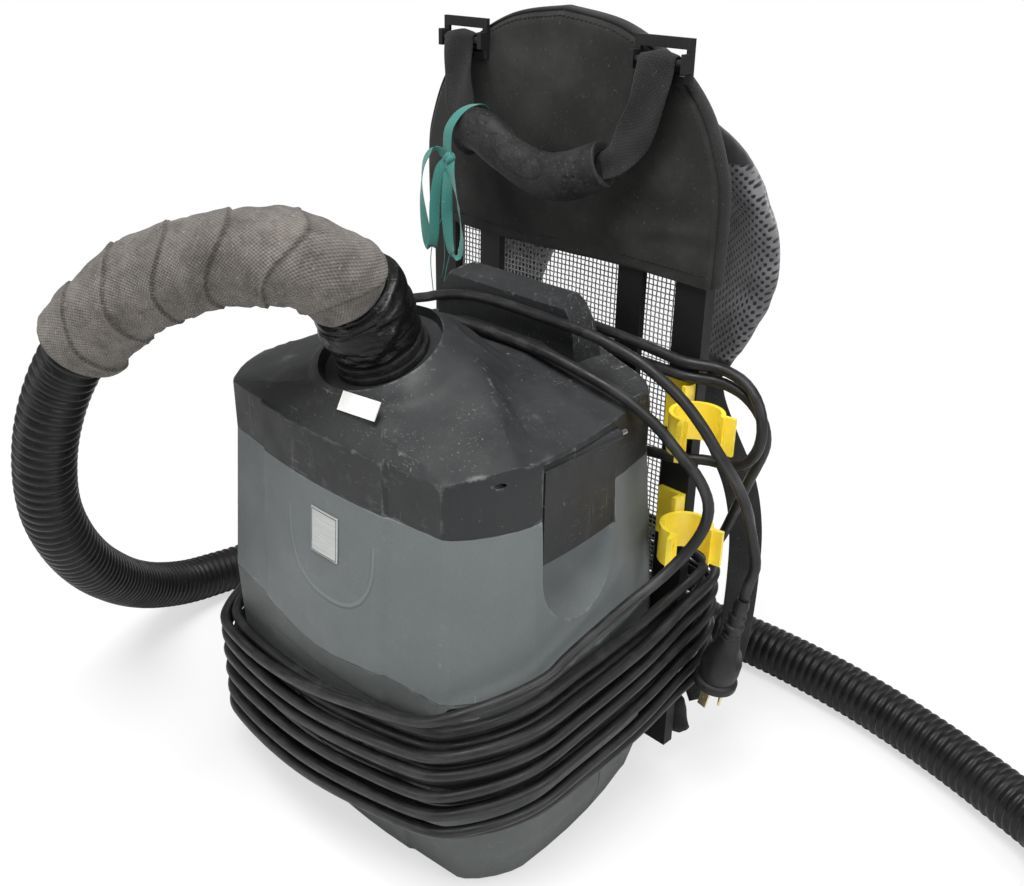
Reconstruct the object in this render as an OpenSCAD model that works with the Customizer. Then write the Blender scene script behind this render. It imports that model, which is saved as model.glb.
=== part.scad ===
// Backpack vacuum cleaner with its harness, suction hose and stowed mains cord.
// Frame: +X is the right side seen from the front, the front panel looks to -Y,
// the wearer stands on the +Y side, +Z is up. The origin is the middle of the base.
// All lengths are millimetres.

/* [Machine body] */
// Half width of the body at the lid seam
side_x = 120; // [118:0.5:127]
// Distance from the origin to the front panel at the lid seam
front_y = 93; // [90:0.5:98]
// Distance from the origin to the flat back at the lid seam
back_y = 88; // [84:0.5:92]
// Half width of the front panel, up to the moulded corner crease
crease_x = 97.5; // [94:0.5:103]
// Height of the seam between the lid and the upper housing
seam_z = 250; // [244:1:256]
// Height of the seam between the upper and the lower housing
part_z = 150; // [144:1:156]
// Growth of the half width from the lid seam down to the lower seam
flare = 7.5; // [5:0.5:9]
// Wall of the moulded housings
wall = 3; // [2.5:0.25:4]
// Gap between two moulded pieces of the casing
joint_gap = 0.4; // [0.3:0.05:0.8]
// Distance from the origin to the parting between the front and the rear shell
rear_part_y = 31; // [26:1:36]
// Radius of the hole in the upper housing's floor, over the motor
inlet_r = 42; // [36:1:46]

/* [Lid] */
// Height of the lid's rim above the lid seam
rim_h = 35; // [32:0.5:38]
// Rise of the lid's side planes for each millimetre inward
side_rise = 0.29; // [0.25:0.01:0.33]
// Height of the hump's ridge above the lid seam
hump_h = 90; // [84:1:96]
// Half width of the hump's level ridge
hump_x = 40; // [36:1:44]
// Height of the hose socket's centre above the lid seam
socket_h = 71; // [68:1:74]
// Distance from the origin to the hose socket, to the front
socket_y = 43; // [40:1:46]
// Lean of the hose socket to the front, in degrees
socket_lean = 24; // [18:1:28]
// Inner radius of the hose socket
socket_bore_r = 20; // [18:0.5:21]
// Outer radius of the raised ring round the hose socket
crater_r = 38; // [36:0.5:40]

/* [Lid latches] */
// Front end of the latch
latch_front_y = -30; // [-34:1:-26]
// Rear end of the latch
latch_rear_y = 37; // [33:1:41]
// Height of the latch's pin above the lid seam
latch_pin_h = 29; // [27:0.5:31]
// Height of the latch's lower edge above the base
latch_low_z = 222; // [216:1:228]
// Thickness of the latch
latch_t = 4; // [3:0.5:5]
// Radius of the latch pin
latch_pin_r = 1.5; // [1.2:0.1:2]
// Radial running clearance of every pin and shaft
run_gap = 0.06; // [0.03:0.01:0.09]
// Depth of the finger scoop under the latch
scoop_depth = 20; // [14:1:22]
// Height of the finger scoop's lowest point above the base
scoop_low_z = 180; // [174:1:186]

/* [Motor and filters] */
// Radius of the motor casing
motor_r = 62; // [56:1:64]
// Height of the motor casing
motor_h = 106; // [96:1:110]
// Radius of the rotor shaft
shaft_r = 4; // [3:0.5:5]
// Radius of the fan wheel
fan_r = 50; // [44:1:52]
// Number of blades on the fan wheel
fan_blades = 9; // [7:1:12]
// Number of slots in the armature
armature_slots = 12; // [8:2:16]
// Radius of the motor's inlet filter
filter_r = 55; // [50:1:58]
// Height of the dust bag
bag_h = 82; // [70:1:84]

/* [Harness] */
// Distance from the origin to the harness panel's front face
panel_y = 103; // [101:0.5:106]
// Half width of the harness over its rails
rail_x = 120; // [119:0.5:127]
// Width of an outer rail
rail_w = 23; // [19:1:26]
// Thickness of an outer rail
rail_t = 9; // [7:0.5:11]
// Height of the harness's foot
rail_low_z = 18; // [12:1:30]
// Height of the apex of the back cover
apex_z = 498; // [488:1:506]
// Height of the back cover's lower edge
cover_low_z = 353; // [345:1:361]
// Distance between the axes of the inner bands
inner_band_x = 124; // [118:2:130]
// Width of an inner band
band_w = 19; // [15:1:23]
// Side of a square hole in the mesh
mesh_hole = 11; // [10.8:0.1:13]
// Web between two holes of the mesh
mesh_web = 3; // [2.5:0.25:4]
// Thickness of the mesh
mesh_t = 1.6; // [1.2:0.2:2.4]

/* [Carry handle] */
// Height of the handle's hinge line
handle_z = 474; // [470:1:478]
// Half distance between the handle's straps
handle_x = 66; // [62:1:70]
// Drop of the grip's lowest point under the hinge line
handle_drop = 92; // [84:1:98]
// Largest radius of the rubber grip
grip_r = 15; // [13:0.5:17]

/* [Tool clips] */
// Radius of a tool clip's bore
clip_r = 14; // [12:0.5:15]
// Wall of a tool clip
clip_wall = 2.6; // [2:0.1:3.2]
// Height of a tool clip
clip_h = 24; // [20:1:28]
// Height of the upper clip's middle
clip_high_z = 272; // [268:1:276]
// Height of the lower clip's middle
clip_low_z = 197; // [194:1:202]

/* [Suction hose] */
// Outer radius of the hose over its ribs
hose_r = 18.75; // [18:0.25:19.5]
// Inner radius of the hose
hose_bore_r = 15.2; // [14.5:0.1:15.6]
// Number of ribs on the bare stretch of the hose
hose_ribs = 86; // [60:1:110]
// Outer radius of the cloth tape wrapped round the hose
cloth_tape_r = 23; // [22:0.5:25]
// Outer radius of the glossy tape at the socket
black_tape_r = 26; // [25:0.5:27]
// Outer radius of the swivel cuff on the hose's far end
cuff_r = 22; // [21:0.5:23]

/* [Mains cord] */
// Diameter of the cord
cord_d = 6.8; // [6.2:0.1:7.2]
// Number of loops wound round the machine
cord_loops = 13; // [11:1:13]
// Rings of the tube in each loop
loop_rings = 18; // [16:2:24]
// Height of the bundle's middle on the front panel
bundle_front_z = 106; // [100:1:112]

/* [Hidden] */
$fn = 48;

// Colours
charcoal = [0.13, 0.135, 0.14];
blue_grey = [0.36, 0.39, 0.40];
warm_grey = [0.31, 0.32, 0.32];
rubber_black = [0.05, 0.05, 0.055];
web_black = [0.07, 0.07, 0.075];
clip_yellow = [0.93, 0.80, 0.18];
steel = [0.65, 0.66, 0.68];

// ---------------------------------------------------------------- helpers
function lerp(a, b, t) = a + (b - a) * t;
function unit(v) = v / norm(v);
function signed_pow(v, p) = sign(v) * pow(abs(v), p);

// Right half of an outline mirrored into a closed counter-clockwise outline
function whole(half) =
    concat(half, [for (i = [len(half) - 2:-1:1]) [-half[i][0], half[i][1]]]);

// A flat outline lifted to one height
function level(outline, z) = [for (p = outline) [p[0], p[1], z]];

// Walls between consecutive rings of n points
function wall_faces(n, m, wrap = 0) = [
    for (k = [0:m - 2 + wrap]) for (i = [0:n - 1])
        let (a = k * n + i, b = k * n + (i + 1) % n,
             c = ((k + 1) % m) * n + (i + 1) % n, d = ((k + 1) % m) * n + i)
        each [[a, d, c], [a, c, b]]
];

// Solid through a list of rings, closed by its flat first and last ring
module loft(rings) {
    n = len(rings[0]);
    m = len(rings);
    polyhedron(
        points = [for (r = rings) each r],
        faces = concat([[for (i = [0:n - 1]) i]], wall_faces(n, m),
                       [[for (i = [n - 1:-1:0]) (m - 1) * n + i]]),
        convexity = 8);
}

// Solid through a list of rings whose last ring joins the first
module loft_loop(rings) {
    polyhedron(points = [for (r = rings) each r],
               faces = wall_faces(len(rings[0]), len(rings), 1), convexity = 8);
}

// One point of the smooth curve between b and c
function curve_point(a, b, c, d, t) =
    0.5 * (2 * b + (c - a) * t + (2 * a - 5 * b + 4 * c - d) * t * t
           + (3 * b - a - 3 * c + d) * t * t * t);

// Smooth curve through a route's points, n steps to each stretch
function smooth(p, n) = concat(
    [for (i = [0:len(p) - 2]) for (j = [0:n - 1])
        curve_point(p[max(i - 1, 0)], p[i], p[i + 1], p[min(i + 2, len(p) - 1)], j / n)],
    [p[len(p) - 1]]);

function route_length(p, i = 0) =
    i >= len(p) - 1 ? 0 : norm(p[i + 1] - p[i]) + route_length(p, i + 1);

// Distance run along a route at each of its points
function run_along(p) = [
    for (i = 0, s = 0; i < len(p); s = s + norm(p[min(i + 1, len(p) - 1)] - p[i]), i = i + 1) s
];

// Points a given distance along a route
function at_run(p, runs, s) =
    let (k = max([for (i = [0:len(p) - 2]) runs[i] <= s ? i : 0]))
    lerp(p[k], p[k + 1], (s - runs[k]) / (runs[k + 1] - runs[k]));

function directions(p) = [
    for (i = [0:len(p) - 1]) unit(p[min(i + 1, len(p) - 1)] - p[max(i - 1, 0)])
];

// Side vector carried along the route without twisting
function square_to(n, t) = unit(n - (n * t) * t);
function carried(t, first) = [
    for (i = 0, n = square_to(first, t[0]); i < len(t);
         i = i + 1, n = square_to(n, t[min(i, len(t) - 1)])) n
];

// Ring of a tube: centre c, direction t, side n, half width a along n, half height b
function tube_ring(c, t, n, a, b, sides) =
    let (m = cross(t, n))
    [for (i = [0:sides - 1]) c + a * cos(i * 360 / sides) * n + b * sin(i * 360 / sides) * m];

// Rings of a tube of one radius along a route
function tube_rings(p, r, sides, first = [0, 0, 1]) =
    let (t = directions(p), n = carried(t, first))
    [for (i = [0:len(p) - 1]) tube_ring(p[i], t[i], n[i], r, r, sides)];

// Round cord along a route
module cord(p, r, sides, first = [0, 0, 1]) {
    loft(tube_rings(p, r, sides, first));
}

// Open sleeve round a route
module sleeve(p, r_out, r_in, sides, first = [0, 0, 1]) {
    outside = tube_rings(p, r_out, sides, first);
    inside = tube_rings(p, r_in, sides, first);
    loft_loop(concat(outside, [for (i = [len(inside) - 1:-1:0]) inside[i]]));
}

// Flat strap along a route: half width w along the side vector, half thickness t
module strap(p, w, t, side) {
    d = directions(p);
    loft([for (i = [0:len(p) - 1])
        let (n = square_to(side, d[i]), m = cross(d[i], n))
        [p[i] + w * n + t * m, p[i] - w * n + t * m, p[i] - w * n - t * m, p[i] + w * n - t * m]]);
}

module both_sides() {
    children();
    mirror([1, 0, 0]) children();
}

// ---------------------------------------------------------------- casing outline
corner_y = 38;         // where the front corner's curve reaches the side, to the front
rear_corner = 18;      // size of the rounded rear corner
side_rake = 14.5;      // how much the side draws in towards the back
panel_step_x = 57;     // end of the proud middle of the front panel
panel_bow = 3.5;       // how much the proud middle curves back at its ends
shoulder_y = 10;       // how far the crease lies behind the panel's middle

// Right half of the casing's outline, with its growth at the side, front and back
function half_plan(gs, gf, gb) =
    let (sx = side_x + gs, fy = front_y + gf, by = back_y + gb, cx = crease_x + 0.6 * gs,
         rx = sx - side_rake, ry = by - rear_corner)
    concat(
        [for (x = [0, 19, 38, panel_step_x]) [x, -(fy - panel_bow * pow(x / panel_step_x, 2))]],
        [for (t = [0, 0.5, 1])
            [lerp(panel_step_x + 3, cx, t), -(fy - lerp(5.5, shoulder_y, t))]],
        [for (i = [1:5]) let (a = i * 18)
            [cx + (sx - cx) * pow(sin(a), 1.4),
             -corner_y - (fy - shoulder_y - corner_y) * pow(cos(a), 1.4)]],
        [for (i = [1:5]) let (t = i / 5) [sx - side_rake * pow(t, 2.2), lerp(-corner_y, ry, t)]],
        [for (i = [1:4]) let (a = i * 22.5)
            [rx - rear_corner + rear_corner * cos(a), ry + rear_corner * sin(a)]],
        [[rx * 0.42, by], [0, by]]);

back_flare = 4.6;

// Growth of the outline with height below the lid seam: side, front, back
function growth(z) = [
    lookup(z, [[0, -5], [5, -1], [30, flare - 2], [90, flare], [part_z, flare], [seam_z, 0]]),
    lookup(z, [[0, -13], [5, -9.5], [30, -5], [90, flare - 2.5], [part_z, flare], [seam_z, 0]]),
    lookup(z, [[0, 1], [5, 3], [30, back_flare], [part_z, back_flare], [seam_z, 0]])
];
function casing_half(z, inset = 0) =
    let (g = growth(z)) half_plan(g[0] - inset, g[1] - inset, g[2] - inset);
function casing(z, inset = 0) = whole(casing_half(z, inset));

// The inner wall stands further in behind the finger scoops
scoop_y = (latch_front_y + latch_rear_y) / 2;
scoop_half = (latch_rear_y - latch_front_y) / 2;
function behind_scoop(y) = (scoop_depth - 1) * exp(-pow((y - scoop_y) / (scoop_half + 9), 4));
function cavity(z, inset) =
    whole([for (p = casing_half(z, inset)) [p[0] - (p[0] > 70 ? behind_scoop(p[1]) : 0), p[1]]]);

// Lower edge of the upper housing: level, with a dip under the middle of the front panel
dip = 8;
function part_line(outline, gap) = [
    for (p = outline)
        [p[0], p[1], part_z + gap - (p[1] < 0 ? dip * exp(-pow(p[0] / 42, 2)) : 0)]
];

base_t = 4;                    // thickness of the lower housing's floor
deck_t = 4;                    // thickness of the upper housing's floor
deck_z = part_z + 4;           // underside of the upper housing's floor
deck_top = deck_z + deck_t;

// ---------------------------------------------------------------- lower housing
pedestal_r = 40;
motor_z = deck_z - 8 - motor_h;      // underside of the motor casing
foot_x = 78;
foot_front_y = -58;
foot_rear_y = 70;
foot_r = 9;
foot_t = 3;
screw_r = 2.2;

// Front opening for the exhaust filter
exhaust_left = -58;
exhaust_right = 90;
exhaust_low = 54;
exhaust_high = 128;
filter_in = 12;       // depth of the filter's face behind the front panel

module lower_body() {
    loft(concat(
        [for (z = [0, 5, 30, 60, 90, 120]) level(casing(z), z)],
        [part_line(casing(part_z), -joint_gap / 2)],
        [part_line(casing(part_z, wall), -joint_gap / 2)],
        [for (z = [120, 60, 30, base_t]) level(casing(z, z < 10 ? wall + 3 : wall), z)]));
}
module foot_places() {
    for (x = [-foot_x, foot_x]) for (y = [foot_front_y, foot_rear_y]) translate([x, y, 0]) children();
}
// Space under the raised underside, left out of both shells
module underside() {
    difference() {
        translate([0, 0, -1]) cylinder(r = 300, h = foot_t - 0.5 + 1);
        translate([0, 0, -2]) cylinder(r = pedestal_r - 12, h = foot_t + 4);
        foot_places() cylinder(r = foot_r + 3, h = 4 * foot_t, center = true);
    }
}
module exhaust_frame(gap) {
    translate([exhaust_left + gap, -front_y - 12, exhaust_low + gap])
        cube([exhaust_right - exhaust_left - 2 * gap, 40, exhaust_high - exhaust_low - 2 * gap]);
}
switch_y = 62;
switch_z = 36;
switch_turn = 13.8;
switch_tilt = 4;
switch_x = side_x + growth(switch_z)[0]
    - side_rake * pow((switch_y + corner_y) / (back_y + back_flare - rear_corner + corner_y), 2.2);
gland_x = -40;
gland_z = 52;
gland_y = panel_y - cord_d / 2 - 0.5;
gland_len = 34;
foot_bar = 20;
foot_bar_top = rail_low_z + foot_bar;
gland_boss_y = gland_y + 7 - back_y - back_flare;

module lower_housing() {
    color(warm_grey) difference() {
        union() {
            difference() {
                lower_body();
                translate([-200, rear_part_y, -1]) cube([400, 200, part_z + 20]);
            }
            // pedestal under the motor, standing on the floor
            difference() {
                translate([0, 0, base_t - 1]) cylinder(r = pedestal_r, h = motor_z - base_t - 5);
                cylinder(r = pedestal_r - wall, h = motor_z);
                translate([-100, rear_part_y, -1]) cube([200, 100, part_z]);
            }
        }
        foot_places() cylinder(r = foot_r + 0.1, h = 2 * foot_t, center = true);
        underside();
        exhaust_frame(0);
        // oval screw recesses on the front corners
        both_sides() translate([111, -80, 143]) rotate([90, 0, 55])
            linear_extrude(height = 9, center = true)
                hull() { translate([-6, 0]) circle(r = 4.5, $fn = 24); translate([6, 0]) circle(r = 4.5, $fn = 24); }
    }
}
module rear_shell() {
    color(warm_grey) difference() {
        union() {
            intersection() {
                lower_body();
                translate([-200, rear_part_y + joint_gap, -1]) cube([400, 200, part_z + 20]);
            }
            // boss that carries the cord gland
            translate([gland_x - 9, back_y + back_flare - 2, foot_bar_top + 1]) cube([18, gland_boss_y, gland_z - foot_bar_top - 1]);
        }
        foot_places() cylinder(r = foot_r + 0.1, h = 2 * foot_t, center = true);
        underside();
        // opening of the switch in the left side
        at_switch() translate([-10, -switch_half_y - 0.4, -switch_half_z - 0.4])
            cube([20, 2 * switch_half_y + 0.8, 2 * switch_half_z + 0.8]);
        // passage of the cord through its boss
        translate([gland_x, gland_y, foot_bar_top]) cylinder(r = cord_d / 2 + 0.2, h = 30, $fn = 24);
    }
}
module rubber_feet() {
    color(rubber_black) foot_places() cylinder(r = foot_r, h = foot_t);
}
module exhaust_cover() {
    skin = wall;
    color(warm_grey) difference() {
        intersection() {
            loft([for (z = [30, 60, 90, 120, 140]) level(casing(z, 0.3), z)]);
            exhaust_frame(joint_gap);
        }
        loft([for (z = [20, 60, 90, 120, 145]) level(casing(z, skin + 0.3), z)]);
        // grip recess with its bar
        translate([20, -front_y - 12, exhaust_low + 8])
            cube([52, 12.5, 9]);
        // outlet slots
        for (i = [0:6]) translate([-48 + i * 18, -front_y - 12, exhaust_low + 30])
            cube([12, 40, 3]);
    }
    color(warm_grey) translate([24, -front_y + 3.2, exhaust_low + 12.5])
        rotate([0, 90, 0]) cylinder(r = 2.4, h = 44, $fn = 24);
}
module exhaust_filter() {
    pitch = 8;
    count = floor((exhaust_right - exhaust_left - 16) / pitch);
    color([0.85, 0.85, 0.82]) difference() {
        translate([exhaust_left + 6, -front_y + filter_in, exhaust_low + 5])
            cube([exhaust_right - exhaust_left - 12, 10, exhaust_high - exhaust_low - 10]);
        for (i = [0:count - 1]) translate([exhaust_left + 10 + i * pitch, -front_y + filter_in - 0.6, exhaust_low + 9])
            cube([pitch / 2, 7, exhaust_high - exhaust_low - 18]);
    }
}
module housing_screws() {
    color(steel) both_sides() translate([108.2, -77.6, 143]) rotate([90, 0, 55]) difference() {
        cylinder(r = 3.6, h = 2.4, $fn = 24);
        translate([0, 0, 1.2]) cylinder(r = 1.8, h = 3, $fn = 6);
    }
}
// Place of the switch on the left side, -X outwards
module at_switch() {
    translate([-switch_x, switch_y, switch_z]) rotate([0, 0, -switch_turn]) children();
}
switch_half_y = 8.6;
switch_half_z = 6.1;
module switch_frame() {
    color(rubber_black) at_switch() difference() {
        translate([-1.9, -switch_half_y - 2.4, -switch_half_z - 2.4])
            cube([1.6, 2 * switch_half_y + 4.8, 2 * switch_half_z + 4.8]);
        translate([-3, -switch_half_y, -switch_half_z])
            cube([4, 2 * switch_half_y, 2 * switch_half_z]);
    }
}
module power_switch() {
    color(rubber_black) at_switch() translate([4, 0, 0]) rotate([0, 0, -switch_tilt]) {
        cylinder(r = 1.5, h = 2 * switch_half_z - 1, center = true, $fn = 24);
        translate([-6.5, 1.1 - switch_half_y, 0.5 - switch_half_z])
            cube([6.7, 2 * switch_half_y - 2.2, 2 * switch_half_z - 1]);
    }
}

// ---------------------------------------------------------------- upper housing
latch_w = latch_rear_y - latch_front_y;
pin_x = side_x - 5.5;
pin_z = seam_z + latch_pin_h;
pocket_x = side_x - 11;
scoop_r = 40;
scoop_x = side_x + scoop_r - scoop_depth + 2;
scoop_z = scoop_low_z + sqrt(pow(scoop_r, 2) - pow(scoop_r - scoop_depth + 2, 2));

// Space of one latch and its knuckle, cut from the lid and the housing
module latch_pocket(gap) {
    translate([pocket_x, latch_front_y - gap, latch_low_z - gap])
        cube([30, latch_w + 2 * gap, pin_z + 4 - latch_low_z + gap]);
}
module finger_scoop() {
    translate([scoop_x, scoop_y, scoop_z]) {
        cylinder(r = scoop_r, h = 246 - scoop_z, $fn = 64);
        sphere(r = scoop_r, $fn = 64);
    }
}
module upper_housing() {
    color(blue_grey) difference() {
        union() {
            difference() {
                loft(concat(
                    [level(casing(deck_z, wall), deck_z)],
                    [part_line(casing(part_z, wall), joint_gap / 2)],
                    [part_line(casing(part_z), joint_gap / 2)],
                    [for (z = [180, 215]) level(casing(z), z)],
                    [level(casing(seam_z), seam_z - joint_gap / 2)],
                    [level(cavity(seam_z, wall), seam_z - joint_gap / 2)],
                    [for (z = [215, 180]) level(cavity(z, wall), z)],
                    [level(cavity(deck_top, wall + 2), deck_top)]));
                both_sides() finger_scoop();
                both_sides() latch_pocket(joint_gap);
            }
            // keeper that each latch hooks under
            both_sides() translate([scoop_x - scoop_r - 2, scoop_y - 14, seam_z - 9])
                cube([12, 28, 3]);
        }
        translate([0, 0, part_z - 10]) cylinder(r = inlet_r, h = 30);
    }
}

// ---------------------------------------------------------------- lid
socket_c = [0, -socket_y, seam_z + socket_h];
socket_dir = [0, -sin(socket_lean), cos(socket_lean)];
socket_side = [0, cos(socket_lean), sin(socket_lean)];
socket_r = socket_bore_r + 5;
crater_depth = 6;

// Heights of the lid's moulded planes over a point
function wing(u, y) =
    let (r = norm([u, y + socket_y]))
    seam_z + socket_h + 0.2 * (y + socket_y) - 0.42 * (r - crater_r);
function brow(u, y) =
    seam_z + rim_h - 1 + 1.6 * (y + front_y - 3 - shoulder_y * pow(u / crease_x, 2));
function end_ramp(u, y) = seam_z + 43 - 0.45 * (0.53 * (u - 80) - 0.848 * (y + 65));
function side_plane(u) = seam_z + min(rim_h + 24, rim_h + side_rise * (side_x - u));
function wing_edge(u) = 16 - 0.28 * u - 0.0022 * u * u;
function lid_z(x, y) =
    let (u = abs(x), w = wing(u, y), b = min(brow(u, y), end_ramp(u, y)), s = side_plane(u))
    y < wing_edge(u) ? max(min(w, b), seam_z + rim_h - 3)
                     : lerp(max(w, s), s, min(1, (y - wing_edge(u)) / 5));

// A point of the circle of radius r about the socket's axis, d along it
function on_socket(a, r, d) =
    socket_c + d * socket_dir + r * (cos(a) * [1, 0, 0] + sin(a) * socket_side);

lid_plan = let (p = casing(seam_z))
    [for (i = [0:len(p) - 1]) each [p[i], (p[i] + p[(i + 1) % len(p)]) / 2]];
lid_angle = [for (p = lid_plan) atan2(p[1] + socket_y, p[0])];
lid_rims = [0.08, 0.2, 0.34, 0.48, 0.62, 0.75, 0.86, 0.94, 0.985];

function lid_ring(t, drop) = [
    for (i = [0:len(lid_plan) - 1])
        let (c = on_socket(lid_angle[i], crater_r, 0),
             x = lerp(c[0], lid_plan[i][0], t), y = lerp(c[1], lid_plan[i][1], t))
        [x, y, lerp(c[2], lid_z(x, y), min(1, t / 0.2)) - drop]
];
function lid_skirt(inset, side_inset, z) = [
    for (p = lid_plan)
        let (u = abs(p[0]), k = min(1, u / 60))
        [p[0] * (1 - (inset + side_inset * k * k) / side_x), p[1] * (1 - inset / front_y), z]
];
function socket_ring(r, d) = [for (a = lid_angle) on_socket(a, r, d)];
lid_wall = 4;
thick_side = 11;

module lid_shell() {
    loft_loop(concat(
        [socket_ring(socket_r + 0.3, -crater_depth - 7), socket_ring(crater_r - 1, -crater_depth - 7)],
        [for (t = [0.34, 0.74]) lid_ring(t, lid_wall + 4)],
        [lid_skirt(wall, thick_side, seam_z + rim_h - 9),
         lid_skirt(wall, thick_side, seam_z + joint_gap / 2),
         lid_skirt(0, 0, seam_z + joint_gap / 2), lid_skirt(0, 0, seam_z + rim_h - 4)],
        [for (i = [len(lid_rims) - 1:-1:0]) lid_ring(lid_rims[i], 0)],
        [socket_ring(crater_r, 0), socket_ring(crater_r - 2, -crater_depth),
         socket_ring(socket_r + 0.3, -crater_depth)]));
}
// Raised grip ridge along the back of the lid, drawn smaller by t for its hollow
hump_foot = seam_z + rim_h + 3;
module hump(t) {
    ridge = seam_z + hump_h - t;
    base = hump_foot - 20;
    round_r = 22 - t;
    intersection() {
        translate([0, back_y, 0]) rotate([90, 0, 0]) linear_extrude(height = 60) polygon(concat(
            [[t - 82, base], [82 - t, base], [82 - t, hump_foot - t]],
            [for (i = [0:6]) let (a = i * 15)
                [hump_x + round_r * cos(a), hump_foot + 12 - t + (ridge - hump_foot - 12 + t) * sin(a)]],
            [for (i = [6:-1:0]) let (a = i * 15)
                [-hump_x - round_r * cos(a), hump_foot + 12 - t + (ridge - hump_foot - 12 + t) * sin(a)]],
            [[t - 82, hump_foot - t]]));
        rotate([90, 0, 90]) linear_extrude(height = 200, center = true)
            polygon([[52 + t, base], [54.5 + t, hump_foot], [56.5 + t, ridge - 7], [59 + t, ridge - 4],
                     [71 - t, ridge], [75 - t, ridge - 2], [80 - t, hump_foot + 4], [83 - t, base]]);
    }
}
module lid() {
    color(charcoal) difference() {
        union() {
            lid_shell();
            hump(0);
        }
        hump(wall);
        both_sides() latch_pocket(joint_gap);
        // bores of the latch pins
        both_sides() translate([pin_x, latch_rear_y + 7, pin_z]) rotate([90, 0, 0])
            cylinder(r = latch_pin_r + run_gap, h = 130, $fn = 24);
    }
}
module lid_seal() {
    seal_w = 4;
    color(rubber_black) loft_loop([
        level(cavity(seam_z, wall + 0.3), seam_z - 4), level(cavity(seam_z, wall + 0.3), seam_z + 0.0),
        level(cavity(seam_z, wall + 0.3 + seal_w), seam_z + 0.0),
        level(cavity(seam_z, wall + 0.3 + seal_w), seam_z - 4)]);
}
module along_socket(d) {
    translate(socket_c + d * socket_dir) rotate([socket_lean, 0, 0]) children();
}
module hose_socket() {
    color(rubber_black) difference() {
        union() {
            along_socket(-crater_depth - 18) cylinder(r = socket_r, h = crater_depth + 22);
            along_socket(-crater_depth + 0.3) cylinder(r = socket_r + 3.5, h = 4);
            along_socket(1) cylinder(r = socket_r + 2, h = 3);
        }
        along_socket(-60) cylinder(r = socket_bore_r, h = 90);
        along_socket(-6) cylinder(r = hose_r + 0.3, h = 20);
    }
}

// ---------------------------------------------------------------- latches
module latch() {
    outer = [for (i = [0:5]) let (t = i / 5, y = lerp(latch_front_y + 0.5, latch_rear_y - 0.5, t))
        [side_x - side_rake * pow((y + corner_y) / (back_y - rear_corner + corner_y), 2.2) + 0.6, y]];
    inner = [for (i = [5:-1:0]) [outer[i][0] - latch_t, outer[i][1]]];
    difference() {
        union() {
            translate([0, 0, latch_low_z]) linear_extrude(height = pin_z - latch_low_z)
                polygon(concat(outer, inner));
            translate([pin_x, latch_front_y + 0.5, pin_z]) rotate([-90, 0, 0])
                cylinder(r = latch_pin_r + 2.2, h = latch_w - 1, $fn = 32);
            // hook under the keeper
            translate([side_x - 12.5, scoop_y - 12, seam_z - 14]) cube([9, 24, 3.5]);
        }
        translate([pin_x, latch_front_y - 5, pin_z]) rotate([-90, 0, 0])
            cylinder(r = latch_pin_r + run_gap, h = latch_w + 10, $fn = 24);
    }
}
module latch_right() {
    color(charcoal) latch();
}
module latch_left() {
    color(charcoal) mirror([1, 0, 0]) latch();
}
module latch_pins() {
    color(steel) both_sides() translate([pin_x, latch_front_y - 9, pin_z]) rotate([-90, 0, 0])
        cylinder(r = latch_pin_r, h = latch_w + 15, $fn = 24);
}
module asset_label() {
    color("white") translate([27, -79.82, 302.72]) rotate([58, 0, 0]) rotate([0, 0, 5])
        cube([31, 11, 0.8], center = true);
}
module badge_plate() {
    color([0.75, 0.75, 0.72]) translate([9, -front_y - growth(221)[1] - 0.25, 221])
        cube([25, 0.9, 29], center = true);
}

// ---------------------------------------------------------------- motor and filters
fan_box_h = 34;
can_r = motor_r - 13;
bearing_r = 11;
bearing_h = 7;
low_bearing_z = motor_z + 3;
high_bearing_z = motor_z + motor_h - fan_box_h - bearing_h - 1;
rotor_z = motor_z + 20;
rotor_h = 34;
rotor_r = 29.5;

module motor_casing() {
    color([0.55, 0.56, 0.57]) difference() {
        union() {
            translate([0, 0, motor_z]) cylinder(r = can_r, h = motor_h - fan_box_h + 1);
            translate([0, 0, motor_z + motor_h - fan_box_h]) cylinder(r = motor_r, h = fan_box_h);
        }
        difference() {
            translate([0, 0, motor_z + 3]) cylinder(r = can_r - 2.5, h = motor_h - fan_box_h - 6);
            translate([0, 0, motor_z]) cylinder(r = bearing_r + 3, h = bearing_h + 3);
            translate([0, 0, high_bearing_z]) cylinder(r = bearing_r + 3, h = 20);
        }
        translate([0, 0, motor_z + motor_h - fan_box_h + 3])
            cylinder(r = motor_r - 2.5, h = fan_box_h);
        translate([0, 0, low_bearing_z]) cylinder(r = bearing_r + 0.02, h = bearing_h + 4);
        translate([0, 0, high_bearing_z - 1]) cylinder(r = bearing_r + 0.02, h = bearing_h + 1);
        translate([0, 0, motor_z + 2]) cylinder(r = shaft_r + 2, h = motor_h);
        // air outlets round the can
        for (i = [0:7]) rotate([0, 0, 22.5 + 45 * i]) translate([can_r - 6, -7, rotor_z + 8])
            cube([12, 14, 18]);
    }
}
module fan_cover() {
    color([0.55, 0.56, 0.57]) difference() {
        translate([0, 0, motor_z + motor_h - 3.5]) cylinder(r = motor_r - 2.8, h = 3);
        translate([0, 0, motor_z + motor_h - 10]) cylinder(r = 24, h = 20);
    }
}
module motor_mounts() {
    color(rubber_black) {
        difference() {
            translate([0, 0, motor_z - 6]) cylinder(r = pedestal_r, h = 6);
            translate([0, 0, motor_z - 7]) cylinder(r = pedestal_r - 8, h = 8);
        }
        difference() {
            translate([0, 0, deck_z - 8]) cylinder(r = motor_r - 2, h = 8);
            translate([0, 0, deck_z - 9]) cylinder(r = inlet_r + 4, h = 10);
        }
    }
}
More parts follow.
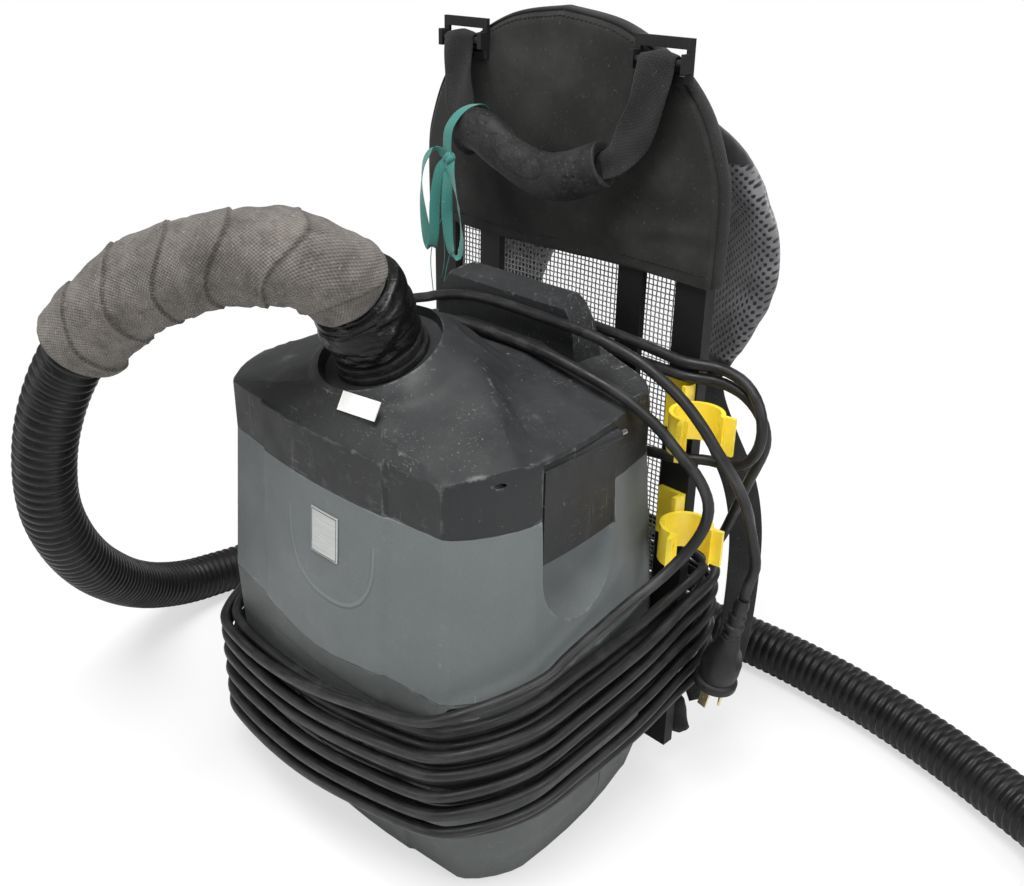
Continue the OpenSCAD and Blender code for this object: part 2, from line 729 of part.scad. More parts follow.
module stator() {
    color([0.35, 0.2, 0.12]) difference() {
        translate([0, 0, rotor_z]) cylinder(r = can_r - 3, h = rotor_h);
        translate([0, 0, rotor_z - 1]) cylinder(r = rotor_r + 1.2, h = rotor_h + 2);
    }
}
module bearings() {
    color(steel) for (z = [low_bearing_z, high_bearing_z]) difference() {
        translate([0, 0, z]) cylinder(r = bearing_r, h = bearing_h - 0.5);
        translate([0, 0, z - 1]) cylinder(r = shaft_r + run_gap, h = bearing_h + 2);
    }
}
module rotor_shaft() {
    color(steel) translate([0, 0, motor_z + 2.6]) cylinder(r = shaft_r, h = motor_h - 9);
}
module armature() {
    color([0.45, 0.25, 0.12]) difference() {
        union() {
            translate([0, 0, rotor_z]) cylinder(r = rotor_r, h = rotor_h);
            translate([0, 0, low_bearing_z + bearing_h + 0.5])
                cylinder(r = 12, h = rotor_z - low_bearing_z - bearing_h - 0.5);
        }
        translate([0, 0, motor_z]) cylinder(r = shaft_r, h = motor_h);
        for (i = [0:armature_slots - 1]) rotate([0, 0, i * 360 / armature_slots])
            translate([rotor_r - 5, -1.4, rotor_z - 1]) cube([8, 2.8, rotor_h + 2]);
    }
}
module fan_wheel() {
    z0 = motor_z + motor_h - fan_box_h + 6;
    color([0.7, 0.71, 0.72]) difference() {
        union() {
            translate([0, 0, z0]) cylinder(r = fan_r, h = 1.6);
            translate([0, 0, z0]) cylinder(r = shaft_r + 5, h = 16);
            for (i = [0:fan_blades - 1]) rotate([0, 0, i * 360 / fan_blades]) difference() {
                translate([fan_r / 2 + 2, 18, z0 + 1]) cylinder(r = 30, h = 12);
                translate([fan_r / 2 + 2, 18, z0]) cylinder(r = 28.6, h = 15);
                translate([-60, 2, z0]) cube([140, 80, 20]);
                translate([-60, -80, z0]) cube([66, 160, 20]);
                difference() {
                    translate([0, 0, z0]) cylinder(r = 100, h = 20);
                    translate([0, 0, z0 - 1]) cylinder(r = fan_r - 0.5, h = 22);
                }
            }
        }
        translate([0, 0, motor_z]) cylinder(r = shaft_r, h = motor_h + 20);
    }
}
module inlet_filter() {
    color([0.5, 0.52, 0.5]) translate([0, 0, deck_top]) cylinder(r = filter_r, h = 8);
}
bag_z = deck_top + 8.5;
bag_wall = 2;
bag_top_d = -crater_depth - 20.5;      // the bag's mouth, along the socket's axis
// Flat rings of the bag: share of its height, half width, front end, rear end
bag_plan = [[0, 70, 62, 58], [0.06, 83, 76, 72], [0.45, 86, 79, 76], [0.78, 83, 76, 70],
            [0.93, 68, 68, 52], [1, 48, 60, 30]];
function bag_flat(q, t) = [
    for (a = [0:15:345]) let (c = signed_pow(cos(a), 0.7), d = signed_pow(sin(a), 0.7))
        [(q[1] - t) * c, (d > 0 ? q[3] - t : q[2] - t) * d, bag_z + max(t, bag_h * q[0])]
];
function bag_neck(r, d) = [for (a = [0:15:345]) on_socket(a, r, d)];
function bag_rings(t) = concat([for (q = bag_plan) bag_flat(q, t)],
    [bag_neck(27 - t, bag_top_d - 26), bag_neck(socket_r - t, bag_top_d - 14),
     bag_neck(socket_r - t, bag_top_d)]);
module dust_bag() {
    inside = bag_rings(bag_wall);
    color([0.85, 0.80, 0.7])
        loft(concat(bag_rings(0), [for (i = [len(inside) - 1:-1:0]) inside[i]]));
}
module bag_collar() {
    color([0.75, 0.68, 0.5]) along_socket(-crater_depth - 18.3 - 2) difference() {
        cylinder(r = socket_r + 6, h = 2);
        translate([0, 0, -1]) cylinder(r = socket_bore_r, h = 4);
    }
}

// ---------------------------------------------------------------- harness
frame_y = panel_y;
plate_t = 5;           // thickness of the frame's plate, arch and bands
// Length of a post between the frame and the casing's back at one height
function post_len(z) = frame_y + 1 - back_y
    - (z < part_z ? back_flare : back_flare * (seam_z - z) / (seam_z - part_z) + 0.4) - 0.3;
mesh_in = 5.3;         // depth of the mesh behind the frame's front face
arch_x = [[rail_x, 400], [115, 420], [102, 446], [79, 468], [42, 486], [0, apex_z - 6]];

function arch(shrink) = concat([
    for (p = smooth([for (q = arch_x) [q[0], q[1], 0]], 3)) if (p[0] > shrink + 1) [p[0] - shrink, p[1] - shrink]
], [[0, apex_z - 6 - shrink]]);
module frame_outline(shrink, low) {
    a = arch(shrink);
    polygon(concat([[-rail_x + shrink, low], [rail_x - shrink, low]], a,
                   [for (i = [len(a) - 2:-1:0]) [-a[i][0], a[i][1]]]));
}
module upright(y, h) {
    translate([0, y + h, 0]) rotate([90, 0, 0]) linear_extrude(height = h) children();
}
module back_frame() {
    inner_x = rail_x - rail_w;
    foot_top = rail_low_z + foot_bar;
    color(web_black) union() {
        difference() {
            upright(frame_y, rail_t) frame_outline(1, rail_low_z);
            // open middle
            translate([-inner_x, frame_y - 1, foot_top])
                cube([2 * inner_x, rail_t + 2, cover_low_z + 20 - foot_top]);
            // hollow behind the arch
            upright(frame_y + plate_t, rail_t) frame_outline(rail_w, cover_low_z + 19);
        }
        // inner bands
        for (s = [-1, 1]) translate([s * inner_band_x / 2 - band_w / 2, frame_y, foot_top - 4])
            cube([band_w, plate_t, cover_low_z + 28 - foot_top]);
        // four posts that carry the casing
        for (s = [-1, 1]) for (z = [70, 225])
            translate([s * inner_band_x / 2, frame_y + 1, z]) rotate([90, 0, 0])
                cylinder(r = 8, h = post_len(z));
    }
}
module mesh_panel() {
    w = 2 * (rail_x - rail_w) - 2;
    h = cover_low_z + 20 - rail_low_z - foot_bar - 2;
    pitch = mesh_hole + mesh_web;
    nx = floor((w - mesh_web) / pitch);
    nz = min(floor((h - mesh_web) / pitch), floor(300 / nx));
    z0 = cover_low_z + 18 - h;
    color(web_black) upright(frame_y + mesh_in, mesh_t) difference() {
        translate([-w / 2, z0]) square([w, h]);
        for (i = [0:nx - 1]) for (k = [0:nz - 1])
            translate([(i - nx / 2) * pitch + mesh_web / 2, z0 + h - (k + 1) * pitch])
                square([mesh_hole, mesh_hole]);
    }
}
cover_gap = 0.4;
cover_t = 2.6;
module back_cover() {
    color(web_black) difference() {
        upright(frame_y - cover_t - cover_gap, rail_t + 2 * cover_t + 2 * cover_gap) frame_outline(-3, cover_low_z);
        upright(frame_y - cover_gap, rail_t + 2 * cover_gap) frame_outline(0, cover_low_z - 20);
    }
}
lumbar_y = frame_y + mesh_in + mesh_t + 0.3;
function pad_ring(c, w, h, y) = [
    for (i = [0:23]) let (a = i * 15)
        [c[0] + w * signed_pow(cos(a), 0.55), y, c[2] - h * signed_pow(sin(a), 0.55)]
];
module lumbar_pad() {
    color(web_black) loft([for (s = [[0, 0.94], [3, 1], [12, 0.98], [18, 0.9], [22, 0.7], [23, 0.4]])
        pad_ring([0, 0, 128], 84 * s[1], 64 * s[1], lumbar_y + s[0])]);
}
hip_route = [[44, 118.2, 36], [66, 119.4, 36], [88, 119.6, 36], [105, 119.6, 36], [116, 120.4, 36], [124, 122, 37]];
module hip_pads() {
    color(web_black) both_sides() loft([
        for (i = [0:len(hip_route) - 1])
            let (d = directions(hip_route), k = i == 0 || i == len(hip_route) - 1 ? 0.75 : 1)
            tube_ring(hip_route[i], d[i], [0, 0, 1], 22 * k, 7 * k, 12)]);
}
pad_route = [[50, 123.8, 428], [55, 134, 438], [64, 146, 434], [76, 159, 416], [86, 168, 392],
             [93, 172, 366], [96, 169, 340], [95, 162, 316], [93, 155, 296], [92, 150, 282]];
pad_width = [17, 22, 27, 31, 33, 34, 33, 29, 24, 19];
pad_thick = [4, 6, 8, 10, 11, 11, 11, 10, 8, 6];
module shoulder_pad() {
    d = directions(pad_route);
    loft([for (i = [0:len(pad_route) - 1])
        let (n = square_to([0.86, -0.5, 0.1], d[i]))
        tube_ring(pad_route[i], d[i], n, pad_width[i], pad_thick[i], 14)]);
}
module shoulder_pad_right() {
    color([0.25, 0.25, 0.26]) shoulder_pad();
}
module shoulder_pad_left() {
    color([0.25, 0.25, 0.26]) mirror([1, 0, 0]) shoulder_pad();
}
web_route = [[92, 149.5, 281], [98, 148, 262], [112, 147, 240], [128, 147, 215], [136, 148, 185],
             [138, 149, 150], [137, 150, 110], [135, 149, 82], [132, 144, 70], [126, 134, 61.5], [118.5, 122.5, 58.6]];
module shoulder_webbing() {
    color(web_black) both_sides() strap(smooth(web_route, 2), 11, 1.2, [0.7, 0.7, 0]);
}

// ---------------------------------------------------------------- carry handle
bar_y = panel_y - cover_t - cover_gap - 5.2;
bar_r = 2;
buckle_x = handle_x + 14;
strap_half = 12.5;
strap_t = 1.4;
module strap_buckles() {
    color(rubber_black) both_sides() translate([buckle_x, 0, handle_z]) {
        translate([-20, bar_y, 0]) rotate([0, 90, 0]) cylinder(r = bar_r, h = 40, $fn = 24);
        difference() {
            translate([-20, bar_y + 2.2, -11]) cube([40, 2.7, 24]);
            translate([-16, bar_y, -7]) cube([32, 10, 14]);
        }
        for (s = [-20, 16.5]) translate([s, bar_y - 3, -5]) cube([3.5, 6, 10]);
    }
}
grip_route = [[-66, 84, 417], [-56, 82, 421], [-42, 81, 417], [-26, 81, 406], [-8, 80, 399],
              [12, 80, 396], [30, 80, 400], [44, 82, 408], [54, 83, 414]];
grip_size = [0.9, 0.92, 0.97, 0.88, 0.9, 0.95, 1, 0.97, 0.92];
module handle_grip() {
    p = [for (q = grip_route) [q[0], q[1], q[2] + 382 - handle_z + handle_drop]];
    d = directions(p);
    color(rubber_black) difference() {
        loft([for (i = [0:len(p) - 1])
            tube_ring(p[i], d[i], square_to([0, 0, 1], d[i]), grip_r * grip_size[i],
                      (grip_r - 3) * grip_size[i], 16)]);
    }
}
module handle_straps() {
    top = handle_z;
    color(web_black) {
        // loops round the buckle bars
        both_sides() translate([buckle_x, bar_y, top]) rotate([0, 90, 0]) difference() {
            cylinder(r = bar_r + run_gap + 2 * strap_t, h = 2 * strap_half, center = true, $fn = 32);
            cylinder(r = bar_r + run_gap, h = 2 * strap_half + 2, center = true, $fn = 32);
        }
        strap([[80, bar_y - 3.6, top - 1], [80, bar_y - 4, top - 12], [75, bar_y - 5, top - 30],
               [66, bar_y - 8, top - 46], [60, 84.5, top - 56], [55, 83, top - 60]],
              strap_half, strap_t, [1, 0, 0]);
        strap([[-80, bar_y - 3.6, top - 1], [-79, bar_y - 4, top - 12], [-77, bar_y - 5, top - 26],
               [-73, bar_y - 7, top - 40], [-70, 85, top - 52], [-67, 84, top - 57]],
              strap_half, strap_t, [1, 0, 0]);
    }
}
module ribbon_tie() {
    color([0.1, 0.42, 0.38]) difference() {
        translate([-61, 81.8, 419]) rotate([0, 68, -11]) cylinder(r = grip_r + 1.6, h = 8, center = true, $fn = 32);
        translate([-61, 81.8, 419]) rotate([0, 68, -11]) cylinder(r = grip_r + 0.3, h = 12, center = true, $fn = 32);
    }
}

// ---------------------------------------------------------------- tool clips
clip_x = rail_x + 12.5;
clip_y = panel_y - 17;
clip_turn = -30;
module tool_clip(z) {
    translate([clip_x, clip_y, z - clip_h / 2]) {
        difference() {
            cylinder(r = clip_r + clip_wall, h = clip_h, $fn = 64);
            translate([0, 0, -1]) cylinder(r = clip_r, h = clip_h + 2, $fn = 64);
            rotate([0, 0, clip_turn]) translate([clip_r * 0.55, -clip_r * 0.78, -1])
                cube([30, clip_r * 1.56, clip_h + 2]);
        }
        // flared lips
        for (s = [-1, 1]) rotate([0, 0, clip_turn]) mirror([0, s > 0 ? 0 : 1, 0])
            translate([clip_r * 0.62, clip_r * 0.80, 0]) rotate([0, 0, 38])
                cube([9, clip_wall, clip_h]);
    }
    // bracket on the rail
    translate([rail_x - 21, panel_y - 3.2, z - clip_h / 2]) cube([19, 3, clip_h + 9]);
    translate([rail_x - 5, panel_y - 10, z - clip_h / 2]) cube([3, 9.8, clip_h + 9]);
}
module clip_upper() {
    color(clip_yellow) tool_clip(clip_high_z);
}
module clip_lower() {
    color(clip_yellow) tool_clip(clip_low_z);
}

// ---------------------------------------------------------------- suction hose
hose_start = socket_c - 5.9 * socket_dir;
cuff_turn = -24;
cuff_dir = [cos(cuff_turn), sin(cuff_turn), 0];
cuff_at = [352, 208, 23];
sleeve_depth = 22;
sleeve_len = 26;
hose_points = concat(
    [hose_start, hose_start + 20 * socket_dir, hose_start + 40 * socket_dir],
    [[-1, -77, 372], [-12, -93, 379], [-33, -111, 378], [-58, -130, 370], [-83, -148, 355],
     [-106, -164, 331], [-125, -176, 301], [-139, -184, 268], [-152, -186, 234], [-165, -182, 200],
     [-180, -170, 166], [-200, -151, 132], [-224, -127, 100], [-250, -100, 70], [-272, -70, 45],
     [-287, -36, 27], [-292, 0, 19.5], [-286, 38, 19], [-268, 78, 19], [-240, 114, 19],
     [-204, 146, 19], [-160, 174, 19], [-108, 200, 19], [-52, 222, 19], [4, 239, 19], [60, 250, 19],
     [116, 255, 19], [172, 254, 19], [222, 248, 19], [268, 238, 19.5], [306, 226, 21]],
    [cuff_at - 14 * cuff_dir, cuff_at, cuff_at + (sleeve_depth - 0.1) * cuff_dir]);
hose_route = smooth(hose_points, 4);
hose_runs = run_along(hose_route);
hose_length = hose_runs[len(hose_runs) - 1];
black_tape_end = 56;
cloth_tape_end = 270;
rib_depth = 2;
tape_step = 14;
hose_sides = 8;

// Stations of the outside: plain under the tapes, then two rings to each rib
rib_start = cloth_tape_end - 10;
rib_pitch = (hose_length - 40 - rib_start) / hose_ribs;
outside_stations = concat(
    [for (s = [0:tape_step:rib_start - tape_step]) [s, hose_r]],
    [for (i = [0:hose_ribs - 1]) each [[rib_start + i * rib_pitch, hose_r],
        [rib_start + (i + 0.5) * rib_pitch, hose_r - rib_depth]]],
    [[hose_length - 38, hose_r], [hose_length, hose_r]]);
bore_stations = [for (i = [40:-1:0]) [i * hose_length / 40, hose_bore_r]];

// Side vector at a run: the route's own carried vectors, blended
hose_dirs = directions(hose_route);
hose_sides_v = carried(hose_dirs, [1, 0, 0]);
function hose_ring(s, r, sides = hose_sides) =
    let (k = min(len(hose_runs) - 2, max([for (i = [0:len(hose_runs) - 2]) hose_runs[i] <= s ? i : 0])),
         f = (s - hose_runs[k]) / (hose_runs[k + 1] - hose_runs[k]),
         t = unit(lerp(hose_dirs[k], hose_dirs[k + 1], f)),
         n = square_to(lerp(hose_sides_v[k], hose_sides_v[k + 1], f), t))
    tube_ring(lerp(hose_route[k], hose_route[k + 1], f), t, n, r, r, sides);

module suction_hose() {
    echo(hose_length_mm = hose_length);
    color(rubber_black) loft_loop(concat(
        [for (q = outside_stations) hose_ring(q[0], q[1])],
        [for (q = bore_stations) hose_ring(q[0], q[1])]));
}
// A wrapping round the hose between two runs
module hose_wrap(s0, s1, r, sides) {
    n = ceil((s1 - s0) / tape_step);
    loft_loop(concat(
        [for (i = [0:n]) hose_ring(lerp(s0, s1, i / n), r, sides)],
        [for (i = [n:-1:0]) hose_ring(lerp(s0, s1, i / n), hose_r + 1, sides)]));
}
socket_top = 10;
module black_tape() {
    color([0.03, 0.03, 0.03]) hose_wrap(socket_top + 0.1, black_tape_end, black_tape_r, 16);
}
module cloth_tape() {
    color([0.42, 0.40, 0.37]) hose_wrap(black_tape_end + 0.3, cloth_tape_end, cloth_tape_r, 12);
}
module along_cuff(d) {
    translate(cuff_at + d * cuff_dir) rotate([0, 90, 0]) rotate([-cuff_turn, 0, 0]) children();
}
spigot = 14;
cuff_len = 64;
tool_bore_r = hose_bore_r + 0.9;
module hose_sleeve() {
    color(rubber_black) difference() {
        union() {
            along_cuff(-6) cylinder(r = cuff_r - 1, h = sleeve_len + 6);
            along_cuff(sleeve_depth) cylinder(r = hose_r, h = sleeve_len - sleeve_depth + spigot);
        }
        along_cuff(-10) cylinder(r = hose_r + 0.3, h = sleeve_depth + 10);
        along_cuff(sleeve_depth - 2) cylinder(r = hose_bore_r, h = 40);
    }
}
module hose_cuff() {
    color(rubber_black) difference() {
        along_cuff(sleeve_len + 0.4) cylinder(r = cuff_r, h = cuff_len);
        along_cuff(sleeve_len - 6) cylinder(r = hose_r + run_gap, h = spigot + 7);
        along_cuff(sleeve_len - 6) cylinder(r = tool_bore_r, h = cuff_len + 20);
    }
}

// ---------------------------------------------------------------- mains cord
cord_r = cord_d / 2;
wind_gap = cord_d / 2 + 0.9;
wind_x = side_x + flare + wind_gap;
wind_y = front_y + flare + wind_gap;
wind_crease = [crease_x + 0.6 * flare, shoulder_y - front_y - flare];
wind_rail = [rail_x + wind_gap, frame_y + rail_t];
wind_stops = [[56, 3 - wind_y], wind_crease + [1.5, -5], wind_crease + [6.5, -1.5], [121.8, -72],
              [wind_x - 0.5, -44], [wind_x, -28], [wind_x, 40],
              wind_rail + [2, -20], wind_rail + [-0.5, 8], [104, 140]];
wind_front = [0, -wind_y];
wind_back = [0, 145];
layer_step = cord_d + 1;
inner_loops = 7;
inner_pitch = 12.6;
outer_pitch = 14;
end_lift = 2.9;      // rise of the last turn at each station, towards its loose end

// One loop seen from above, from the front round by the right side, layers set out by g
wind_plan = concat([wind_front], wind_stops, [wind_back],
                   [for (i = [len(wind_stops) - 1:-1:0]) [-wind_stops[i][0], wind_stops[i][1]]]);
plan_n = len(wind_plan);
function plan_stop(i) = wind_plan[((i % plan_n) + plan_n) % plan_n];
function plan_out(i) = let (t = unit(unit(plan_stop(i + 1) - plan_stop(i)) + unit(plan_stop(i) - plan_stop(i - 1))))
    [t[1], -t[0]];
function stop_angle(i) = let (p = plan_stop(i)) atan2(p[1] - 20, p[0]);

// Height of the bundle's middle over each station, and how the turns spread there
bundle_mid = [88, 98, 107, 109, 111, 113, 116, 123, 128, 130, 128, 122,
              120, 114, 108, 97, 87, 84, 81, 79, 78, 81];
bundle_mid_n = len(bundle_mid);
first_turn = 10;
last_turn = cord_loops * plan_n + 6;
function turn_no(i) = (i - first_turn) / plan_n;
function to_outer(i) = let (s = (turn_no(i) - inner_loops + 0.4) / 0.4) s <= 0 ? 0 : s >= 1 ? 1 : s * s * (3 - 2 * s);
function inner_z(i) = (inner_loops / 2 - 0.5 - turn_no(i)) * inner_pitch
    + 1.5 * sin(3 * stop_angle(i) + 50 * turn_no(i));
function outer_z(i) = (turn_no(i) - inner_loops - 3.3) * outer_pitch
    + 3 * cos(stop_angle(i) - 150) + 1.5 * sin(2 * stop_angle(i) + 70 * turn_no(i));
function wind_point(i) =
    let (k = to_outer(i), p = plan_stop(i) + k * layer_step * plan_out(i))
    [p[0], p[1], bundle_mid[i % bundle_mid_n] + lerp(inner_z(i), outer_z(i), k)
        + end_lift * max(0, i - last_turn + 7)];
wind_start = wind_point(first_turn);
wind_start_dir = unit(wind_point(first_turn + 1) - wind_start);
wind_end = wind_point(last_turn);
wind_end_dir = unit(wind_end - wind_point(last_turn - 1));
wind_route = [for (i = [first_turn:last_turn]) wind_point(i)];

// Least distance between turns, measured on points five times as close
fine = [for (i = [0:len(wind_route) - 2]) for (k = [0:3]) lerp(wind_route[i], wind_route[i + 1], k / 4)];
fine_loop = plan_n * 4;
function near_gap(i) = min([for (j = [i + fine_loop - 12:1:min(len(fine) - 1, i + fine_loop * 13)])
    norm(fine[i] - fine[j])]);
module cord_winding() {
    gap = min([for (i = [0:len(fine) - fine_loop - 2]) near_gap(i)]) - cord_d;
    echo(winding_least_gap_mm = gap);
    echo(winding_length_mm = route_length(fine));
    color(rubber_black) cord(wind_route, cord_r, 6);
}
gland_top = gland_z + gland_len;
lead_points = concat([[gland_x, gland_y, gland_top + 0.2], [gland_x, gland_y, gland_top + 10],
    [-40, gland_y, 130], [-40, gland_y, 190], [-40, 98, 240], [-36, 96.2, 278], [-22, 94, 300],
    [0, 92.5, 313], [42, 92.5, 313], [70, 93.4, 311.5], [90, 94.4, 309.6], [106, 94.8, 308],
    [112, 95.5, 307.5], [117.1, 97.1, 307.1], [122.1, 100.1, 306.7], [127, 103.2, 306.3],
    [132.4, 105.1, 305.9], [138, 105.6, 305.4], [149.4, 104.9, 303], [159, 103.5, 296.8],
    [165.4, 102.1, 287.2], [167.7, 101.5, 275.8], [165.4, 102.1, 264.4], [159, 103.5, 254.8],
    [149.4, 104.9, 248.6], [138, 105.6, 246.2], [132.4, 105.1, 245.7], [127, 103.2, 245.3],
    [122.1, 100.1, 244.9], [117.1, 97.1, 244.5], [112, 95.5, 244.1], [106, 94.8, 243.6],
    [80, 95.8, 239.8], [65, 97.4, 238.8], [50, 98.5, 238.8], [35.5, 98.6, 242.7], [24.9, 98.6, 253.3],
    [21, 98.6, 267.8], [24.9, 98.6, 282.3], [35.5, 98.6, 292.9], [50, 98.5, 296.8], [65, 97.4, 298],
    [80, 95.8, 298.6], [106, 94.8, 299], [112, 95.5, 298.8], [117.1, 97.1, 298.5],
    [122.1, 100.1, 298.2], [127, 103.2, 297.9], [132.4, 105.1, 297.6], [138, 105.6, 297.2],
    [148.4, 106, 295], [157.2, 107, 289.2], [163.1, 108.6, 280.4], [165.2, 110.5, 270],
    [163.4, 112.7, 259.6], [156.7, 116.4, 244.6], [149.6, 120.4, 229.8],
    [136.4, 128, 198.3], [130.3, 131.9, 184.6], [124, 135.5, 172]],
    [wind_start - 9 * wind_start_dir, wind_start - 0.2 * wind_start_dir]);
plug_lean = 11;
plug_top = [167, 105, 162];
plug_up = [sin(plug_lean), 0, cos(plug_lean)];
run_points = concat([wind_end + 0.2 * wind_end_dir, wind_end + 9 * wind_end_dir],
    [[141, 2, 179], [143, 22, 186], [147, 40, 194], [151.5, 53, 204], [156.5, 61.5, 216],
    [160, 65.5, 229.5], [160, 65, 243], [154.5, 60.5, 258], [143, 55.5, 271.5], [129.5, 53, 283],
    [116, 50, 291.5], [103, 47, 298], [84, 43, 304], [55, 38, 311], [20, 35, 313.5], [-12, 33, 314],
    [-36, 27.5, 313.8], [-54, 18.8, 311.5], [-74, 7.2, 307.3], [-88, 3.5, 304],
    [-98.7, 5.6, 301.5], [-107.8, 11.7, 299.5], [-113.9, 20.8, 298.3], [-116, 31.5, 298],
    [-113.9, 42.2, 298.7], [-107.8, 51.3, 300.5], [-98.7, 57, 303.5], [-88, 58.4, 307],
    [-74, 56.6, 311.5], [-60, 52.3, 316.8], [-40, 49.6, 322.8], [-19, 49.5, 326.5], [9, 50, 327.5],
    [69, 50, 326.5], [93, 52, 323], [116, 55, 316], [138, 59, 303], [153, 61, 290],
    [163, 64, 276.5], [168, 71, 263.5], [169.5, 81, 249], [169.5, 92, 231.5], [169, 100, 214]],
    [plug_top + 28 * plug_up, plug_top + 14 * plug_up, plug_top + 0.2 * plug_up]);
module cord_lead() {
    echo(cord_lead_mm = route_length(lead_points));
    color(rubber_black) cord(lead_points, cord_r, 6, [1, 0, 0]);
}
module cord_run() {
    echo(cord_run_mm = route_length(run_points));
    color(rubber_black) cord(run_points, cord_r, 6, [1, 0, 0]);
}
module cord_gland() {
    color(rubber_black) translate([gland_x, gland_y, gland_z]) rotate_extrude($fn = 32)
        polygon([[0, -9], [cord_r, -9], [cord_r, 0.3], [6.2, 0.3], [6.2, 4], [5.2, 6],
                 [cord_r + 0.5, gland_len], [0, gland_len]]);
}
module along_plug(d) {
    translate(plug_top) rotate([0, plug_lean, 0]) translate([0, 0, -d]) children();
}
module plug_body() {
    color(rubber_black) union() {
        along_plug(32) rotate_extrude($fn = 32) polygon([[0, 0], [6, 0], [6, 3], [5, 4], [5, 7],
            [6.4, 8], [6.4, 11], [5, 12], [5, 15], [5.6, 16], [5.6, 19], [4.6, 20], [4.6, 23],
            [5, 24], [5, 27], [4.2, 32], [0, 32]]);
        along_plug(72) rotate_extrude($fn = 48) polygon([[0, 0], [14.4, 0], [14.4, 3.5], [13.6, 5], [12, 6],
            [13, 12], [13, 20], [11, 27], [8, 32], [6.5, 41], [0, 41]]);
    }
}
module plug_pins() {
    color(steel) along_plug(89) {
        for (s = [-1, 1]) rotate([0, 0, s * 30]) translate([s * 6.9 - 0.8, -3.2, 0]) cube([1.6, 6.4, 17]);
        translate([-3.2, -8.6, 0]) cube([6.4, 1.6, 17]);
    }
}

// ---------------------------------------------------------------- the object
lower_housing();
rear_shell();
upper_housing();
lid();
lid_seal();
hose_socket();
latch_left();
latch_right();
latch_pins();
asset_label();
badge_plate();
exhaust_cover();
exhaust_filter();
rubber_feet();
housing_screws();
switch_frame();
power_switch();
cord_gland();
motor_casing();
fan_cover();
motor_mounts();
stator();
bearings();
rotor_shaft();
armature();
fan_wheel();
inlet_filter();
dust_bag();
bag_collar();
back_frame();
mesh_panel();
back_cover();
lumbar_pad();
hip_pads();
shoulder_pad_left();
shoulder_pad_right();
shoulder_webbing();
strap_buckles();
handle_grip();
handle_straps();
ribbon_tie();
clip_upper();
clip_lower();
suction_hose();
black_tape();
cloth_tape();
hose_sleeve();
hose_cuff();
cord_lead();
cord_winding();
cord_run();
plug_body();
plug_pins();
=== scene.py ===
import bmesh
import bpy
import numpy as np
from mathutils import Matrix, Vector


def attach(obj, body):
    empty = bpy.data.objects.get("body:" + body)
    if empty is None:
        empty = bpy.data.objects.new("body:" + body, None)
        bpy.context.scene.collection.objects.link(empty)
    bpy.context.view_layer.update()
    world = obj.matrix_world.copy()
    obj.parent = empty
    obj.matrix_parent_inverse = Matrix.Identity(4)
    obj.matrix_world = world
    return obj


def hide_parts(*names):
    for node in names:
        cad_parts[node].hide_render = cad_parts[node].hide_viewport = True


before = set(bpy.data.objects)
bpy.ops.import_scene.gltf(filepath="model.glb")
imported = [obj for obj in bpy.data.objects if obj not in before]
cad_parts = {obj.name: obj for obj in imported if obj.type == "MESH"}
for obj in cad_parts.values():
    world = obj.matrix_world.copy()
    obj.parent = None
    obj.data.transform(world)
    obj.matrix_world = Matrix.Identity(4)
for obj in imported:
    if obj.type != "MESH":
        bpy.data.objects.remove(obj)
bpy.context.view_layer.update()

MM = 0.001
WHOLE_TURN = 2 * np.pi

# ------------------------------------------------------------------ camera
EYE_MM = (473.1, -409.1, 540.0)
EYE_AZIMUTH, EYE_PITCH, EYE_ROLL = np.radians((44.9, 25.2, 1.0))
FOCAL_PX = 1099.9
FRAME_PX = 1024
SENSOR_MM = 36.0
NEAREST, FARTHEST = 0.01, 20.0


def set_camera():
    """Camera whose axes come from its azimuth, pitch and roll, with a focal length given in pixels."""
    forward = np.array([-np.sin(EYE_AZIMUTH) * np.cos(EYE_PITCH),
                        np.cos(EYE_AZIMUTH) * np.cos(EYE_PITCH), -np.sin(EYE_PITCH)])
    level = np.array([np.cos(EYE_AZIMUTH), np.sin(EYE_AZIMUTH), 0.0])
    above = np.cross(level, forward)
    right = np.cos(EYE_ROLL) * level + np.sin(EYE_ROLL) * above
    up = np.cross(right, forward)
    data = bpy.data.cameras.new("camera")
    data.sensor_width = SENSOR_MM
    data.lens = FOCAL_PX / FRAME_PX * SENSOR_MM
    data.clip_start, data.clip_end = NEAREST, FARTHEST
    camera = bpy.data.objects.new("camera", data)
    axes = np.column_stack([right, up, -forward, np.array(EYE_MM) * MM])
    camera.matrix_world = Matrix([*axes.tolist(), [0, 0, 0, 1]])
    bpy.context.scene.collection.objects.link(camera)
    bpy.context.scene.camera = camera


set_camera()


# ------------------------------------------------------------------ lines
def unit(v):
    """Vectors divided by their own lengths."""
    return v / np.maximum(np.linalg.norm(v, axis=-1, keepdims=True), 1e-12)


def run_along(line):
    """Distance run along a line at each of its points."""
    return np.concatenate([[0], np.cumsum(np.linalg.norm(np.diff(line, axis=0), axis=1))])


def taken_at(where, run, values):
    """Rows of values at other places of a run, each between the two rows beside it."""
    return np.stack([np.interp(where, run, values[:, k]) for k in range(values.shape[1])], axis=1)


